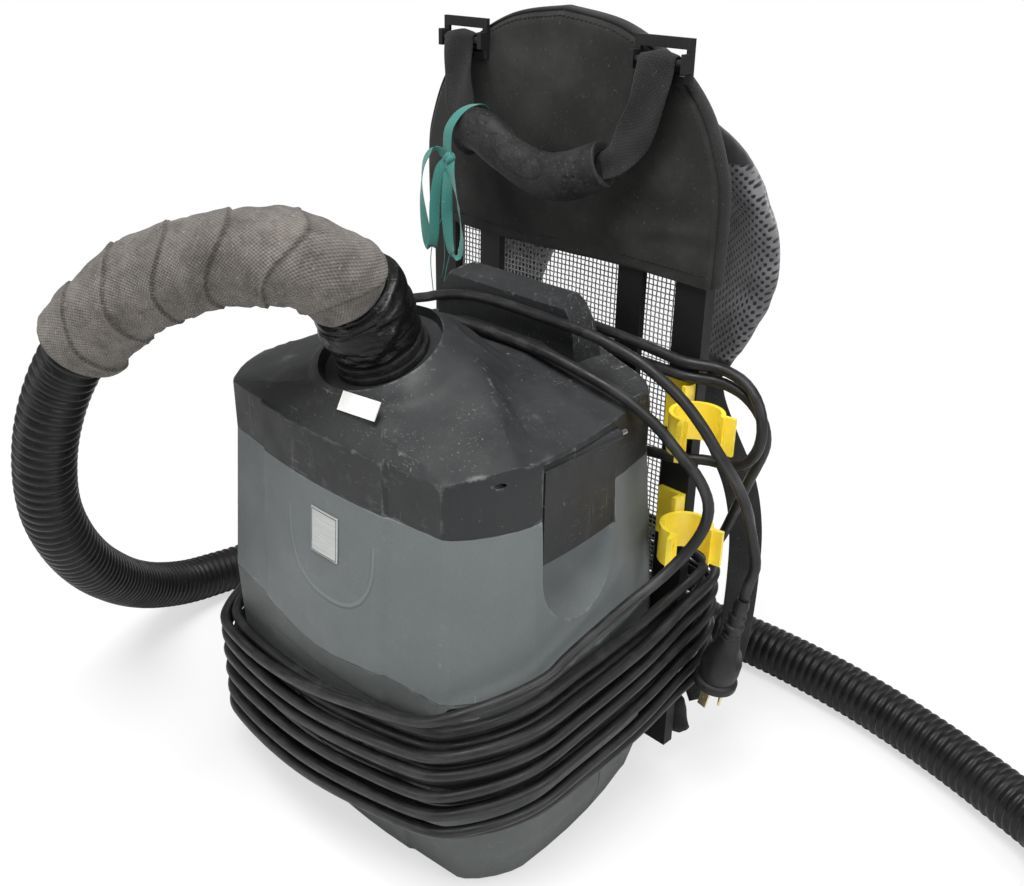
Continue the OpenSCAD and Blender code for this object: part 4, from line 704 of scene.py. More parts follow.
INNER_PITCH, OUTER_PITCH, LAYER_STEP, END_LIFT = 12.6, 14.0, CORD_D + 1, 2.9
FIRST_STATION, LAST_STATION = 10, CORD_LOOPS * TURN_STATIONS + 6
# Length of the lead before the loops and of the run after them, where the cord isn't evened
LEAD_LENGTH, RUN_LENGTH, EVENED_OVER = 800.0, 900.0, 60.0
# Run at which one loop passes the left shoulder webbing, how far it's lifted there and over what length
WEBBING_RUN, WEBBING_LIFT, WEBBING_REACH = 7724.0, 4.5, 45.0


def winding_stations():
    """Stations of the wound turns. The plan is one loop seen from above; each turn drops by the pitch, the
    last turns lie one layer further out, and the heights sway a little with the angle and the turn."""
    stops = [np.asarray(p, float) for p in WIND_STOPS]
    plan = np.array([(0.0, -WIND_Y), *stops, (0.0, BEHIND_Y), *[p * (-1, 1) for p in stops[::-1]]])
    n = len(plan)
    i = np.arange(FIRST_STATION, LAST_STATION + 1)
    here, after, before = plan[i % n], plan[(i + 1) % n], plan[(i - 1) % n]
    t = unit(unit(after - here) + unit(here - before))
    outward = np.stack([t[:, 1], -t[:, 0]], axis=1)
    angle = np.degrees(np.arctan2(here[:, 1] - 20, here[:, 0]))
    turn = (i - FIRST_STATION) / n
    s = np.clip((turn - INNER_LOOPS + 0.4) / 0.4, 0, 1)
    outer_share = s * s * (3 - 2 * s)
    sin, cos = (lambda a: np.sin(np.radians(a))), (lambda a: np.cos(np.radians(a)))
    inner = (INNER_LOOPS / 2 - 0.5 - turn) * INNER_PITCH + 1.5 * sin(3 * angle + 50 * turn)
    outer = ((turn - INNER_LOOPS - 3.3) * OUTER_PITCH + 3 * cos(angle - 150)
             + 1.5 * sin(2 * angle + 70 * turn))
    lift = END_LIFT * np.maximum(0, i - LAST_STATION + 7)
    flat = here + (outer_share * LAYER_STEP)[:, None] * outward
    return np.column_stack([flat, BUNDLE_MID[i % n] + inner + (outer - inner) * outer_share + lift])


GLAND = np.array([-40.0, PANEL_Y - CORD_D / 2 - 0.5, 86.0])
LEAD_STOPS = [GLAND + (0, 0, 0.2), GLAND + (0, 0, 10), (-40, GLAND[1], 130), (-40, GLAND[1], 190),
              (-40, 98, 240), (-36, 96.2, 278), (-22, 94, 300), (0, 92.5, 313), (42, 92.5, 313),
              (70, 93.4, 311.5), (90, 94.4, 309.6), (106, 94.8, 308), (112, 95.5, 307.5), (117.1, 97.1, 307.1),
              (122.1, 100.1, 306.7), (127, 103.2, 306.3), (132.4, 105.1, 305.9), (138, 105.6, 305.4),
              (149.4, 104.9, 303), (159, 103.5, 296.8), (165.4, 102.1, 287.2), (167.7, 101.5, 275.8),
              (165.4, 102.1, 264.4), (159, 103.5, 254.8), (149.4, 104.9, 248.6), (138, 105.6, 246.2),
              (132.4, 105.1, 245.7), (127, 103.2, 245.3), (122.1, 100.1, 244.9), (117.1, 97.1, 244.5),
              (112, 95.5, 244.1), (106, 94.8, 243.6), (80, 95.8, 239.8), (65, 97.4, 238.8),
              (50, 98.5, 238.8), (35.5, 98.6, 242.7), (24.9, 98.6, 253.3), (21, 98.6, 267.8),
              (24.9, 98.6, 282.3), (35.5, 98.6, 292.9), (50, 98.5, 296.8), (65, 97.4, 298), (80, 95.8, 298.6),
              (106, 94.8, 299), (112, 95.5, 298.8), (117.1, 97.1, 298.5), (122.1, 100.1, 298.2),
              (127, 103.2, 297.9), (132.4, 105.1, 297.6), (138, 105.6, 297.2), (148.4, 106, 295),
              (157.2, 107, 289.2), (163.1, 108.6, 280.4), (165.2, 110.5, 270), (163.4, 112.7, 259.6),
              (156.7, 116.4, 244.6), (149.6, 120.4, 229.8), (136.4, 128, 198.3),
              (130.3, 131.9, 184.6), (124, 135.5, 172)]
RUN_STOPS = [(141, 2, 179), (143, 22, 186), (147, 40, 194), (151.5, 53, 204), (156.5, 61.5, 216),
             (160, 65.5, 229.5), (160, 65, 243), (154.5, 60.5, 258), (143, 55.5, 271.5), (129.5, 53, 283),
             (116, 50, 291.5), (103, 47, 298), (84, 43, 304), (55, 38, 311), (20, 35, 313.5), (-12, 33, 314),
             (-36, 27.5, 313.8), (-54, 18.8, 311.5), (-74, 7.2, 307.3), (-88, 3.5, 304),
             (-98.7, 5.6, 301.5), (-107.8, 11.7, 299.5), (-113.9, 20.8, 298.3), (-116, 31.5, 298),
             (-113.9, 42.2, 298.7), (-107.8, 51.3, 300.5), (-98.7, 57, 303.5), (-88, 58.4, 307),
             (-74, 56.6, 311.5), (-60, 52.3, 316.8), (-40, 49.6, 322.8), (-19, 49.5, 326.5), (9, 50, 327.5),
             (69, 50, 326.5), (93, 52, 323), (116, 55, 316), (138, 59, 303), (153, 61, 290),
             (163, 64, 276.5), (168, 71, 263.5), (169.5, 81, 249), (169.5, 92, 231.5), (169, 100, 214)]
PLUG_TOP = np.array([167.0, 105.0, 162.0])
PLUG_LEAN = np.radians(11)
PLUG_UP = np.array([np.sin(PLUG_LEAN), 0, np.cos(PLUG_LEAN)])


def evened(values, spread):
    """Moving average along a line, weighted by a bell curve whose spread is given in steps of the line."""
    step = np.arange(-3 * spread, 3 * spread + 1)
    bell = np.exp(-0.5 * (step / spread) ** 2)
    return np.convolve(values, bell / bell.sum(), mode="same")


def in_front(points):
    """Share that is 1 before the harness and falls to 0 beside it."""
    return np.clip((HARNESS_Y - points[:, 1]) / HARNESS_FADE, 0, 1)


def make_mains_cord():
    """The whole cord as one round tube: from its gland, round the machine in loops and on to its plug. Two
    slow waves that drift from turn to turn lift and drop the loops, so no two lie alike. The loops are evened
    along their run, so they hang in curves and turn softly at the casing's corners, half a millimetre further
    out; one loop is lifted where it passes the shoulder webbing."""
    wound = winding_stations()
    into = unit(wound[1] - wound[0])
    stops = np.vstack([LEAD_STOPS, wound[0] - 9 * into, wound, RUN_STOPS,
                       PLUG_TOP + 28 * PLUG_UP, PLUG_TOP + 14 * PLUG_UP, PLUG_TOP + 0.2 * PLUG_UP])
    first, count = len(LEAD_STOPS) + 1, np.arange(len(wound))
    turn = count / TURN_STATIONS
    settled = np.clip(np.minimum(count, count[::-1]) / 12, 0, 1) * in_front(wound)
    stops[first:first + len(wound), 2] += settled * (1.8 * np.sin(2.5 * np.pi * turn)
                                                     + 0.8 * np.sin(5.3 * np.pi * turn + 1.0))
    line = smooth_line(stops, 5.0)
    run = run_along(line)
    loops = np.clip(np.minimum(run - LEAD_LENGTH, run[-1] - RUN_LENGTH - run) / EVENED_OVER, 0, 1)
    line[:, 2] += loops * in_front(line) * (evened(line[:, 2], 3) - line[:, 2])
    line[:, 2] += WEBBING_LIFT * np.exp(-((run - WEBBING_RUN) / WEBBING_REACH) ** 2)
    for axis in range(2):
        line[:, axis] += loops * (evened(line[:, axis], 2) - line[:, axis])
    ahead = unit(np.gradient(line[:, :2], axis=0))
    line[:, :2] += 0.5 * loops[:, None] * np.stack([ahead[:, 1], -ahead[:, 0]], axis=1)
    cord = tube("mains_cord", line, CORD_D / 2, 12, CORD, first=(1, 0, 0))
    stands_for(cord, "cord_lead", "cord_winding", "cord_run")


# ------------------------------------------------------------------ suction hose
SOCKET = np.array([0.0, -43.0, 321.0])
SOCKET_LEAN = np.radians(24)
SOCKET_DIR = np.array([0, -np.sin(SOCKET_LEAN), np.cos(SOCKET_LEAN)])
CUFF_TURN = np.radians(-24)
CUFF_DIR = np.array([np.cos(CUFF_TURN), np.sin(CUFF_TURN), 0])
CUFF_AT = np.array([352.0, 208.0, 23.0])
HOSE_START = SOCKET - 5.9 * SOCKET_DIR
HOSE_STOPS = [HOSE_START, HOSE_START + 20 * SOCKET_DIR, HOSE_START + 40 * SOCKET_DIR,
              (-1, -77, 372), (-12, -93, 379), (-33, -111, 378), (-58, -130, 370), (-83, -148, 355),
              (-106, -164, 331), (-125, -176, 301), (-139, -184, 268), (-152, -186, 234), (-165, -182, 200),
              (-180, -170, 166), (-200, -151, 132), (-224, -127, 100), (-250, -100, 70), (-272, -70, 45),
              (-287, -36, 27), (-292, 0, 19.5), (-286, 38, 19), (-268, 78, 19), (-240, 114, 19),
              (-204, 146, 19), (-160, 174, 19), (-108, 200, 19), (-52, 222, 19), (4, 239, 19), (60, 250, 19),
              (116, 255, 19), (172, 254, 19), (222, 248, 19), (268, 238, 19.5), (306, 226, 21),
              CUFF_AT - 14 * CUFF_DIR, CUFF_AT, CUFF_AT + 21.9 * CUFF_DIR]
HOSE_R, HOSE_BORE_R, RIB_PITCH, RIB_DEPTH = 18.75, 15.2, 6.6, 2.1
CLOTH_END, TAPE_END, TAPE_START = 236.0, 47.0, 10.1
hose_line = smooth_line(HOSE_STOPS, 1.1)
hose_run = run_along(hose_line)
hose_side, hose_cross = frames_along(hose_line, (1, 0, 0))[1:]


def hose_grid(run, angle, radius):
    """Points about the hose's line: at each run a circle whose radius may change with run and angle."""
    middle, side, cross = (taken_at(run, hose_run, values) for values in (hose_line, hose_side, hose_cross))
    side, cross = unit(side), unit(cross)
    a = angle[None, :, None]
    radius = np.broadcast_to(radius, (len(run), len(angle)))[..., None]
    return middle[:, None] + radius * (np.cos(a) * side[:, None] + np.sin(a) * cross[:, None])


def make_suction_hose():
    """Ribbed hose: its radius follows a rounded wave along the run, and the bore runs back inside it."""
    end, plain_rows = hose_run[-1], 40
    ribbed = np.arange(CLOTH_END - 12, end - 36, RIB_PITCH / 8)
    wave = np.abs(np.sin((ribbed - ribbed[0]) / RIB_PITCH * np.pi)) ** 0.75
    groove = np.concatenate([np.zeros(plain_rows), 1 - wave, [0, 0]])
    bore_run = np.linspace(end, 0, 120)
    run = np.concatenate([np.linspace(0, ribbed[0] - 2, plain_rows), ribbed, [end - 34, end], bore_run])
    radius = np.concatenate([HOSE_R - RIB_DEPTH * groove, np.full(len(bore_run), HOSE_BORE_R)])
    angle = full_turn(40)
    hose = surface("suction_hose_ribs", hose_grid(run, angle, radius[:, None]), HOSE_PLASTIC,
                   close_rows=True, close_cols=True)
    set_attribute(hose.data, "groove", np.repeat(groove, len(angle)))
    stands_for(hose, "suction_hose")


# ------------------------------------------------------------------ tapes wound round the hose
TAPE_ANGLE = full_turn(144)
# Radii in millimetres: of the wraps' bore, ends and thinnest place, then each wrap's own and its thickest,
# followed by the width of its turns and the step between its rings
WRAP_BORE_R, WRAP_END_R, THINNEST_R = 19.1, 19.6, 19.3
CLOTH_R, CLOTH_MAX_R, CLOTH_WIDE, CLOTH_STEP = 25.1, 28.6, 31.0, 0.9
TAPE_R, TAPE_MAX_R, TAPE_WIDE, TAPE_STEP = 26.2, 29.2, 13.0, 0.5
# Mean radius, which turns an angle round a wrap into millimetres
FOLD_R = 21


def ripple(run, terms):
    """Sum of waves over run and angle: each term gives its height, waves along and round, and its start."""
    total = np.zeros((len(run), len(TAPE_ANGLE)))
    for height, along, around, start in terms:
        total += height * np.sin(run[:, None] / along * WHOLE_TURN + around * TAPE_ANGLE[None, :] + start)
    return total


def random_folds(run, count, height, seed):
    """Short sharp folds at random places: each is a narrow ridge along a slanting line, faded at its ends."""
    made = np.random.default_rng(seed)
    total = np.zeros((len(run), len(TAPE_ANGLE)))
    for _ in range(count):
        s0, a0 = made.uniform(run[0], run[-1]), made.uniform(0, WHOLE_TURN)
        slant, long_mm, wide = made.uniform(-0.9, 0.9), made.uniform(12, 40), made.uniform(1.2, 2.6)
        da = (TAPE_ANGLE[None, :] - a0 + np.pi) % WHOLE_TURN - np.pi
        ds = run[:, None] - s0
        along = ds * slant + da * FOLD_R * np.sqrt(1 - min(0.8, slant ** 2))
        off = ds - along * slant
        total += made.uniform(0.4, 1.0) * height * np.exp(-(off / wide) ** 2 - (along / long_mm * 2) ** 2)
    return total


def share_of_turn(run, sway, width):
    """How far each point lies across its turn of tape: 0 at the turn's own edge, near 1 at the next one."""
    turns = (run[:, None] + sway) / width
    return turns - np.floor(turns)


def wound_tape(name, node, finish, run, radius, fade, thickest):
    """Tape round the hose: its radius falls to the hose's at both ends, and its bore runs back inside."""
    ends = np.minimum((run - run[0]) / fade[0], (run[-1] - run) / fade[1])[:, None]
    radius = np.clip(WRAP_END_R + (radius - WRAP_END_R) * np.clip(ends, 0.3, 1) ** 0.5, THINNEST_R, thickest)
    back = run[::-6]
    both = np.vstack([radius, np.full((len(back), len(TAPE_ANGLE)), WRAP_BORE_R)])
    piece = surface(name, hose_grid(np.concatenate([run, back]), TAPE_ANGLE, both), finish,
                    close_rows=True, close_cols=True)
    stands_for(piece, node)
    return piece


def make_cloth_wrap():
    """Cloth tape wound on in turns: a saw-tooth step follows the slanting edge of each turn, and folds and
    loose waves lie over it. The attribute "fold" holds painted shade along the step at each turn's edge."""
    run = np.arange(TAPE_END + 0.3, CLOTH_END, CLOTH_STEP)
    sway = 10.0 * np.sin(TAPE_ANGLE + 0.6) + 2.2 * np.sin(3 * TAPE_ANGLE)
    part = share_of_turn(run, sway, CLOTH_WIDE)
    radius = (CLOTH_R + 1.1 * np.exp(-part * 7.0) + 0.5 * (1 - part) + random_folds(run, 120, 1.1, 11)
              + ripple(run, [(0.45, 61, 2, 0.4), (0.3, 23, -3, 2.0), (0.22, 11, 5, 1.0), (0.3, 140, 1, 0.0)]))
    piece = wound_tape("cloth_wrap_turns", "cloth_tape", CLOTH_WRAP, run, radius, (5.0, 4.0), CLOTH_MAX_R)
    # Painted shade along the step at each turn's edge, kept in the attribute "fold".
    edge = np.exp(-(part / 0.03) ** 2) + np.exp(-((1 - part) / 0.03) ** 2)
    set_attribute(piece.data, "fold", np.clip(edge * 0.55, 0, 0.6))


def make_black_tape():
    """Black tape: overlapping bands stepped along the run, pulled into wrinkles that run round it."""
    run = np.arange(TAPE_START, TAPE_END, TAPE_STEP)
    t = (run - run[0]) / (run[-1] - run[0])
    swell = TAPE_R + 0.8 * np.clip(t / 0.35, 0, 1) ** 2
    part = share_of_turn(run, 6.0 * np.sin(TAPE_ANGLE + 2.1), TAPE_WIDE)
    radius = (swell[:, None] + 0.7 * np.exp(-part * 5) + random_folds(run, 46, 1.3, 5)
              + ripple(run, [(0.5, 44, 2, 1.1), (0.35, 17, 3, 0.2), (0.2, 7, -4, 0.7)]))
    wound_tape("black_tape_wrap", "black_tape", TAPE, run, radius, (2.5, 2.5), TAPE_MAX_R)


# ------------------------------------------------------------------ rigid pieces
# Where the lid's skin may be eased, in millimetres: above the rim, between the fin and the side, before the
# fin's foot, behind the front and outside the socket's collar, and over what distances the share fades there
RIM_Z, FIN_X, FLANK_X, FIN_FOOT_Y, LID_FRONT_Y, COLLAR_R = 290, 24, 100, 14, -70, 43
SHORT_FADE, LONG_FADE = 8, 10


def beside_hump(at):
    """Share of easing on the lid: whole on the hump's flanks, none at the rim, the socket or the fin."""
    x, y, z = np.abs(at[:, 0]), at[:, 1], at[:, 2]
    from_socket = np.hypot(x, (y - SOCKET[1]) / np.cos(SOCKET_LEAN))
    near = np.min([z - RIM_Z, x - FIN_X, FLANK_X - x, from_socket - COLLAR_R], axis=0) / SHORT_FADE
    ends = np.minimum(FIN_FOOT_Y - y, y - LID_FRONT_Y) / LONG_FADE
    return np.clip(np.minimum(near, ends), 0, 1)


RIGID = {
    "lid": (LID, dict(bevel=1.4, steps=3, sharp=24, wear=6.0, ease=beside_hump)),
    "upper_housing": (UPPER, dict(bevel=0.8, sharp=28, wear=6.0)),
    "lower_housing": (LOWER, dict(bevel=0.8, sharp=28, wear=6.0)),
    "rear_shell": (LOWER, dict(bevel=0.8, sharp=28)),
    "exhaust_cover": (LOWER, dict(bevel=0.8, sharp=28)),
    "latch_left": (LID, dict(bevel=0.8, body="latch_left")),
    "latch_right": (LID, dict(bevel=0.8, body="latch_right")),
    "hose_socket": (RUBBER, dict(bevel=0.6)),
    "back_frame": (FRAME_PLASTIC, dict(bevel=1.2)),
    "hose_sleeve": (FRAME_PLASTIC, dict(bevel=0.6)),
    "hose_cuff": (FRAME_PLASTIC, dict(bevel=0.8, body="hose_cuff")),
    "clip_upper": (CLIP, dict(bevel=0.6)),
    "clip_lower": (CLIP, dict(bevel=0.6)),
    "strap_buckles": (FRAME_PLASTIC, dict(bevel=0.5)),
    "plug_body": (CORD, dict(bevel=0.4)),
    "plug_pins": (BRASS, dict(bevel=0.3)),
    "cord_gland": (RUBBER, dict(bevel=0.3)),
    "power_switch": (RUBBER, dict(bevel=0.5, body="power_switch")),
    "switch_frame": (RUBBER, dict(bevel=0.4)),
    "rubber_feet": (RUBBER, dict(bevel=0.6)),
}
PLAIN = {"lid_seal": RUBBER, "latch_pins": STEEL, "asset_label": LABEL,
         "exhaust_filter": FLEECE, "housing_screws": STEEL, "motor_casing": ZINC, "fan_cover": ZINC,
         "motor_mounts": RUBBER, "stator": LAMINATIONS, "bearings": STEEL, "rotor_shaft": STEEL,
         "armature": LAMINATIONS, "fan_wheel": ALLOY, "inlet_filter": FLEECE, "bag_collar": CARD}


BADGE_LEFT, BADGE_FOOT = -3.5, 206.5
FRONT_AT_FOOT, FRONT_LEAN, FRONT_CROWN = -96.2, 0.0752, 0.00105
BADGE_DEEP, BADGE_PROUD, BADGE_ROUND = 0.8, 0.85, 0.7


def make_badge():
    """Thin bare plate that follows the slightly crowned front of the housing, with rounded edges."""
    u = np.concatenate([[0, 0.006, 0.02], np.linspace(0.05, 0.95, 25), [0.98, 0.994, 1]])
    drop = BADGE_ROUND * (1 - np.clip(np.minimum(u, 1 - u) / 0.02, 0, 1)) ** 2
    z, x = np.meshgrid(BADGE_FOOT + BADGE_HIGH * u, BADGE_LEFT + BADGE_WIDE * u, indexing="ij")
    face = FRONT_AT_FOOT + FRONT_LEAN * (z - BADGE_FOOT) + FRONT_CROWN * x ** 2
    front = face - BADGE_PROUD + np.maximum(drop[:, None], drop[None, :])
    flow = np.stack([x - BADGE_LEFT, z - BADGE_FOOT], axis=-1)
    plate = surface("badge_plate_finished", np.stack([x, front, z], axis=-1), BADGE, flow=flow)
    thickened(plate, BADGE_DEEP, -1.0)
    stands_for(plate, "badge_plate")


def make_rigid_pieces():
    """Refined copies of the nodes that show, and finishes on the small and inner ones, which stay plain."""
    for node, (finish, how) in RIGID.items():
        refined(node, finish, **how)
    for node, finish in PLAIN.items():
        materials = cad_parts[node].data.materials
        materials.clear()
        materials.append(finish)


make_rigid_pieces()
make_badge()
make_mains_cord()
make_cloth_wrap()
make_black_tape()
make_suction_hose()


# ------------------------------------------------------------------ cloth cover and net
def waves(x, y, terms):
    """Low folds in cloth: a sum of waves, each with its height, two wave counts a metre and its start."""
    return sum(h * np.sin((x * fx + y * fy) * MM * WHOLE_TURN + s) for h, fx, fy, s in terms)


STITCH_PITCH, STITCH_LONG, STITCH_R, STITCH_POINTS = 3.6, 2.6, 0.42, 6


def stitched(name, line, outward):
    """Row of stitches: one small rounded bead at each pitch along the line, lying along it on the cloth."""
    count = max(2, int(run_along(line)[-1] / STITCH_PITCH))
    at = smooth_line(line, run_along(line)[-1] / count)
    tangent = unit(np.gradient(at, axis=0))
    across = unit(np.cross(tangent, np.broadcast_to(np.asarray(outward, float), at.shape)))
    lift = unit(np.cross(across, tangent))
    u = np.linspace(-1, 1, STITCH_POINTS)[:, None, None]
    a = full_turn(STITCH_POINTS)[None, :, None]
    r = STITCH_R * np.sqrt(np.clip(1 - (u * 0.94) ** 2, 0, 1))
    at, tangent, across, lift = (v[:, None, None] for v in (at, tangent, across, lift))
    points = (at + u * STITCH_LONG / 2 * tangent + r * np.cos(a) * across
              + (r * np.sin(a) + STITCH_R * 0.3) * lift)
    small_tubes(name, points, WEBBING)


# Cover: half width, hem, middle and columns, the limits of its two sides, half depth and edge rounding of the
# sleeve and thickness of the cloth, then the size of its binding and the places of its two seams
COVER_HALF_X, COVER_LOW, COVER_MID, COVER_COLUMNS = 123, 353.0, 107.5, 181
COVER_NEAR_Y, COVER_FAR_Y, SLEEVE_HALF, SLEEVE_ROUND, COVER_CLOTH_T = 98.6, 116.4, 6.6, 7.0, 1.1
BINDING_DEEP, BINDING_HIGH, SEAM_IN, SEAM_Y, HEM_SEAM_Y, HEM_SEAM_UP = 5.4, 1.7, 5.5, 6.75, 100.15, 7.5
ARCH = np.array([(123.0, 353.0), (123, 400), (118, 423), (104.5, 450), (81, 472), (43.5, 490), (0, 496.5)])
ARCH_CENTRE = np.array([0, 0, 400.0])


def arch_outline(count):
    """Edge of the cover from its left foot over the arch to its right foot, evenly spaced."""
    half = smooth_line(ARCH, 4.0)
    whole = np.vstack([half * (-1, 1), half[::-1][1:]])
    run = run_along(whole)
    return taken_at(np.linspace(0, run[-1], count), run, whole)


def make_back_cover():
    """Cloth sleeve over the frame's arch. Each column runs from the hem up to a point of the arched edge,
    over it in a half round and down behind to the hem again; long low folds cross the front."""
    edge = arch_outline(COVER_COLUMNS)
    hem_x = np.linspace(-COVER_HALF_X, COVER_HALF_X, COVER_COLUMNS)
    hem_z = COVER_LOW + 1.2 * np.sin(hem_x / 31.0) - 1.4 * np.cos(hem_x / 77.0)
    hem = np.stack([hem_x, hem_z], axis=1)
    t = np.concatenate([np.linspace(0, 0.93, 54), 0.93 + 0.07 * np.sin(np.linspace(0.1, np.pi / 2, 9))])
    flat = hem[None] + t[:, None, None] * (edge - hem)[None]
    from_edge = np.linalg.norm(flat - edge[None], axis=2)
    near = 1 - np.clip(1 - from_edge / SLEEVE_ROUND, 0, 1) ** 2
    half = SLEEVE_HALF * np.sqrt(np.clip(near, 0, 1)) + 0.2
    x, z = flat[..., 0], flat[..., 1]
    quiet = np.clip(from_edge / 25, 0, 1)
    fold = waves(x, z, [(0.7, 5, 14, 0.3), (0.5, 11, -9, 1.4), (0.45, 3, 26, 2.2), (0.25, 31, 7, 0.9)])
    sweep = 1.5 * np.exp(-((z - 372 - 0.12 * (x - 20)) / 5.0) ** 2) * np.clip((x + 30) / 90, 0, 1)
    front = COVER_MID - half - quiet * (fold + sweep)
    back = COVER_MID + half + quiet * waves(x, z, [(0.5, 8, 9, 0.2), (0.4, 19, -7, 1.9)])
    points = np.vstack([np.stack([x, np.maximum(front, COVER_NEAR_Y), z], axis=-1),
                        np.stack([x, np.minimum(back, COVER_FAR_Y), z], axis=-1)[::-1]])
    cover = surface("back_cover_cloth", points, COVER_CLOTH, flow=points[..., ::2])
    thickened(cover, COVER_CLOTH_T, 0.0)
    stands_for(cover, "back_cover")

    rim = np.insert(edge, 1, COVER_MID, axis=1)
    _, side, cross = frames_along(rim, (0, 1, 0))
    a = full_turn(14)[None, :, None]
    ring = rim[:, None] + BINDING_DEEP * np.cos(a) * side[:, None] + BINDING_HIGH * np.sin(a) * cross[:, None]
    surface("cover_binding", ring, WEBBING, close_cols=True, caps=True)
    seam = rim + SEAM_IN * unit(ARCH_CENTRE - rim) * (1, 0, 1) - (0, SEAM_Y, 0)
    stitched("cover_edge_stitches", seam[6:-6], (0, -1, 0))
    hem_seam = np.insert(hem + (0, HEM_SEAM_UP), 1, HEM_SEAM_Y, axis=1)
    stitched("cover_hem_stitches", hem_seam[5:-5], (0, -1, 0))


NET_HALF_X, NET_LOW, NET_HIGH, NET_Y = 96.0, 40.0, 371.0, 109.1
NET_PITCH, THREAD_R, THREAD_RISE = 3.3, 0.42, 0.3


def net_threads(name, lines, side, cross):
    """Threads of one way of the net, square in section with smooth shading, each along a row of points."""
    a = np.array([0.25, 0.75, 1.25, 1.75])[:, None] * np.pi
    ring = lines[:, :, None] + THREAD_R * (np.cos(a) * np.array(side) + np.sin(a) * np.array(cross))
    return small_tubes(name, ring, NET_THREAD)


def make_net():
    """Net of the back panel: threads at an even pitch, each rising and dipping where it crosses."""
    x, z = np.meshgrid(np.arange(-NET_HALF_X, NET_HALF_X + 0.1, NET_PITCH),
                       np.arange(NET_LOW, NET_HIGH + 0.1, NET_PITCH), indexing="ij")
    rise = THREAD_RISE * np.where(np.indices(x.shape).sum(axis=0) % 2 == 0, 1, -1)
    middle = NET_Y + 0.5 * np.sin(x / 23.0) * np.sin(z / 41.0)
    upright = np.stack([x + 0.12 * np.sin(z / 9.0), middle + rise, z], axis=-1)
    level = np.stack([x, middle - rise, z + 0.12 * np.sin(x / 7.0)], axis=-1)
    threads = [net_threads("net_upright_threads", upright, (1, 0, 0), (0, 1, 0)),
               net_threads("net_level_threads", np.swapaxes(level, 0, 1), (0, 1, 0), (0, 0, 1))]
    stands_for(joined("back_net", threads), "mesh_panel")


# ------------------------------------------------------------------ handle, ribbon and straps
def band(name, stops, half_w, half_t, side, body="machine", finish=WEBBING, fold=None, step=3.0, columns=26):
    """Flat webbing: a flattened oval carried along a curve with its width along a side vector; its middle may
    cup and its edges wave. Half widths and side vectors may be given as lists, spread evenly along it."""
    line = smooth_line(stops, step)
    tangent = unit(np.gradient(line, axis=0))
    run = run_along(line)
    side = np.atleast_2d(np.asarray(side, float))
    side = taken_at(run / run[-1], np.linspace(0, 1, len(side)), side)
    side = unit(side - (side * tangent).sum(axis=1, keepdims=True) * tangent)
    up = np.cross(tangent, side)
    a = full_turn(columns)[None, :, None]
    across, high = np.cos(a), np.sign(np.sin(a)) * np.abs(np.sin(a)) ** 0.5
    lift = fold(run[:, None], across[..., 0])[..., None] if fold else 0
    half_w = np.atleast_1d(half_w)
    half_w = np.interp(np.linspace(0, 1, len(line)), np.linspace(0, 1, len(half_w)), half_w)[:, None, None]
    ring = line[:, None] + half_w * across * side[:, None] + (half_t * high + lift) * up[:, None]
    return surface(name, ring, finish, body, close_cols=True, caps=True)


HANDLE_Z, BAR_Y, BUCKLE_X = 474.0, 94.8, 80.0
GRIP_STOPS = [(-66, 84, 417), (-56, 82, 422), (-42, 81, 420), (-26, 81, 412), (-8, 80, 406),
              (12, 80, 403), (30, 80, 406), (44, 82, 412), (54, 83, 416)]
GRIP_SIZE = [0.9, 0.92, 0.97, 0.88, 0.9, 0.95, 1, 0.97, 0.92]
GRIP_WIDE, GRIP_DEEP, GRIP_R = 14.6, 11.8, 13.0
GRIP_FRONT = (0.6, -0.75, 0.3)
OVAL_AT, OVAL_HALF = (62, 1), (26, 8.5)
DIMPLES = [(14, -7), (19, -9), (24, -10.5), (17, 1), (22, -1), (27, -3), (20, 8), (25, 6),
           (104, -7), (109, -6), (114, -4), (106, 2), (111, 3), (103, 9), (109, 10)]
# Rings that round each end of the grip: their size beside its own and how far out they stand
GRIP_END_RINGS = ((0.9, 0.6), (0.55, -2.0), (0.45, -7.0))
# Way of a strap over its buckle's bar, back and up from the bar, and on down to the grip
OVER_BAR = [(3.4, -6), (3.8, 0), (2.6, 3.0), (0, 4.2), (-2.8, 3.2), (-4.0, 0)]
STRAP_RIGHT = [(79.5, BAR_Y - 5, HANDLE_Z - 10), (76, BAR_Y - 6, HANDLE_Z - 28),
               (68, BAR_Y - 8, HANDLE_Z - 44), (61, 85, HANDLE_Z - 54), (52, 83, HANDLE_Z - 60)]
STRAP_LEFT = [(-79, BAR_Y - 5, HANDLE_Z - 10), (-77, BAR_Y - 6, HANDLE_Z - 24),
              (-74, BAR_Y - 8, HANDLE_Z - 39), (-70, 85.5, HANDLE_Z - 51), (-63, 83.5, HANDLE_Z - 56)]
STRAP_HALF_W = np.interp(np.linspace(0, 1, 40), [0, 0.35, 0.7, 1], [12.4, 12.6, 13.0, 8.5])


def grip_relief(x, off):
    """Height of the grip's surface at a run and an angle from its front: an oval line pressed in about a
    raised middle, rows of dimples and a soft parting line behind."""
    y = off * GRIP_R
    oval = np.hypot((x - OVAL_AT[0]) / OVAL_HALF[0], (y - OVAL_AT[1]) / OVAL_HALF[1])
    height = 0.35 * np.exp(-(oval / 0.9) ** 4) - 0.55 * np.exp(-((oval - 1) / 0.055) ** 2)
    for px, py in DIMPLES:
        height -= 0.85 * np.exp(-(((x - px) ** 2 + (y - py) ** 2) / 1.15) ** 1.5)
    return height - 0.45 * np.exp(-((np.abs(off) - 2.2) / 0.035) ** 2)


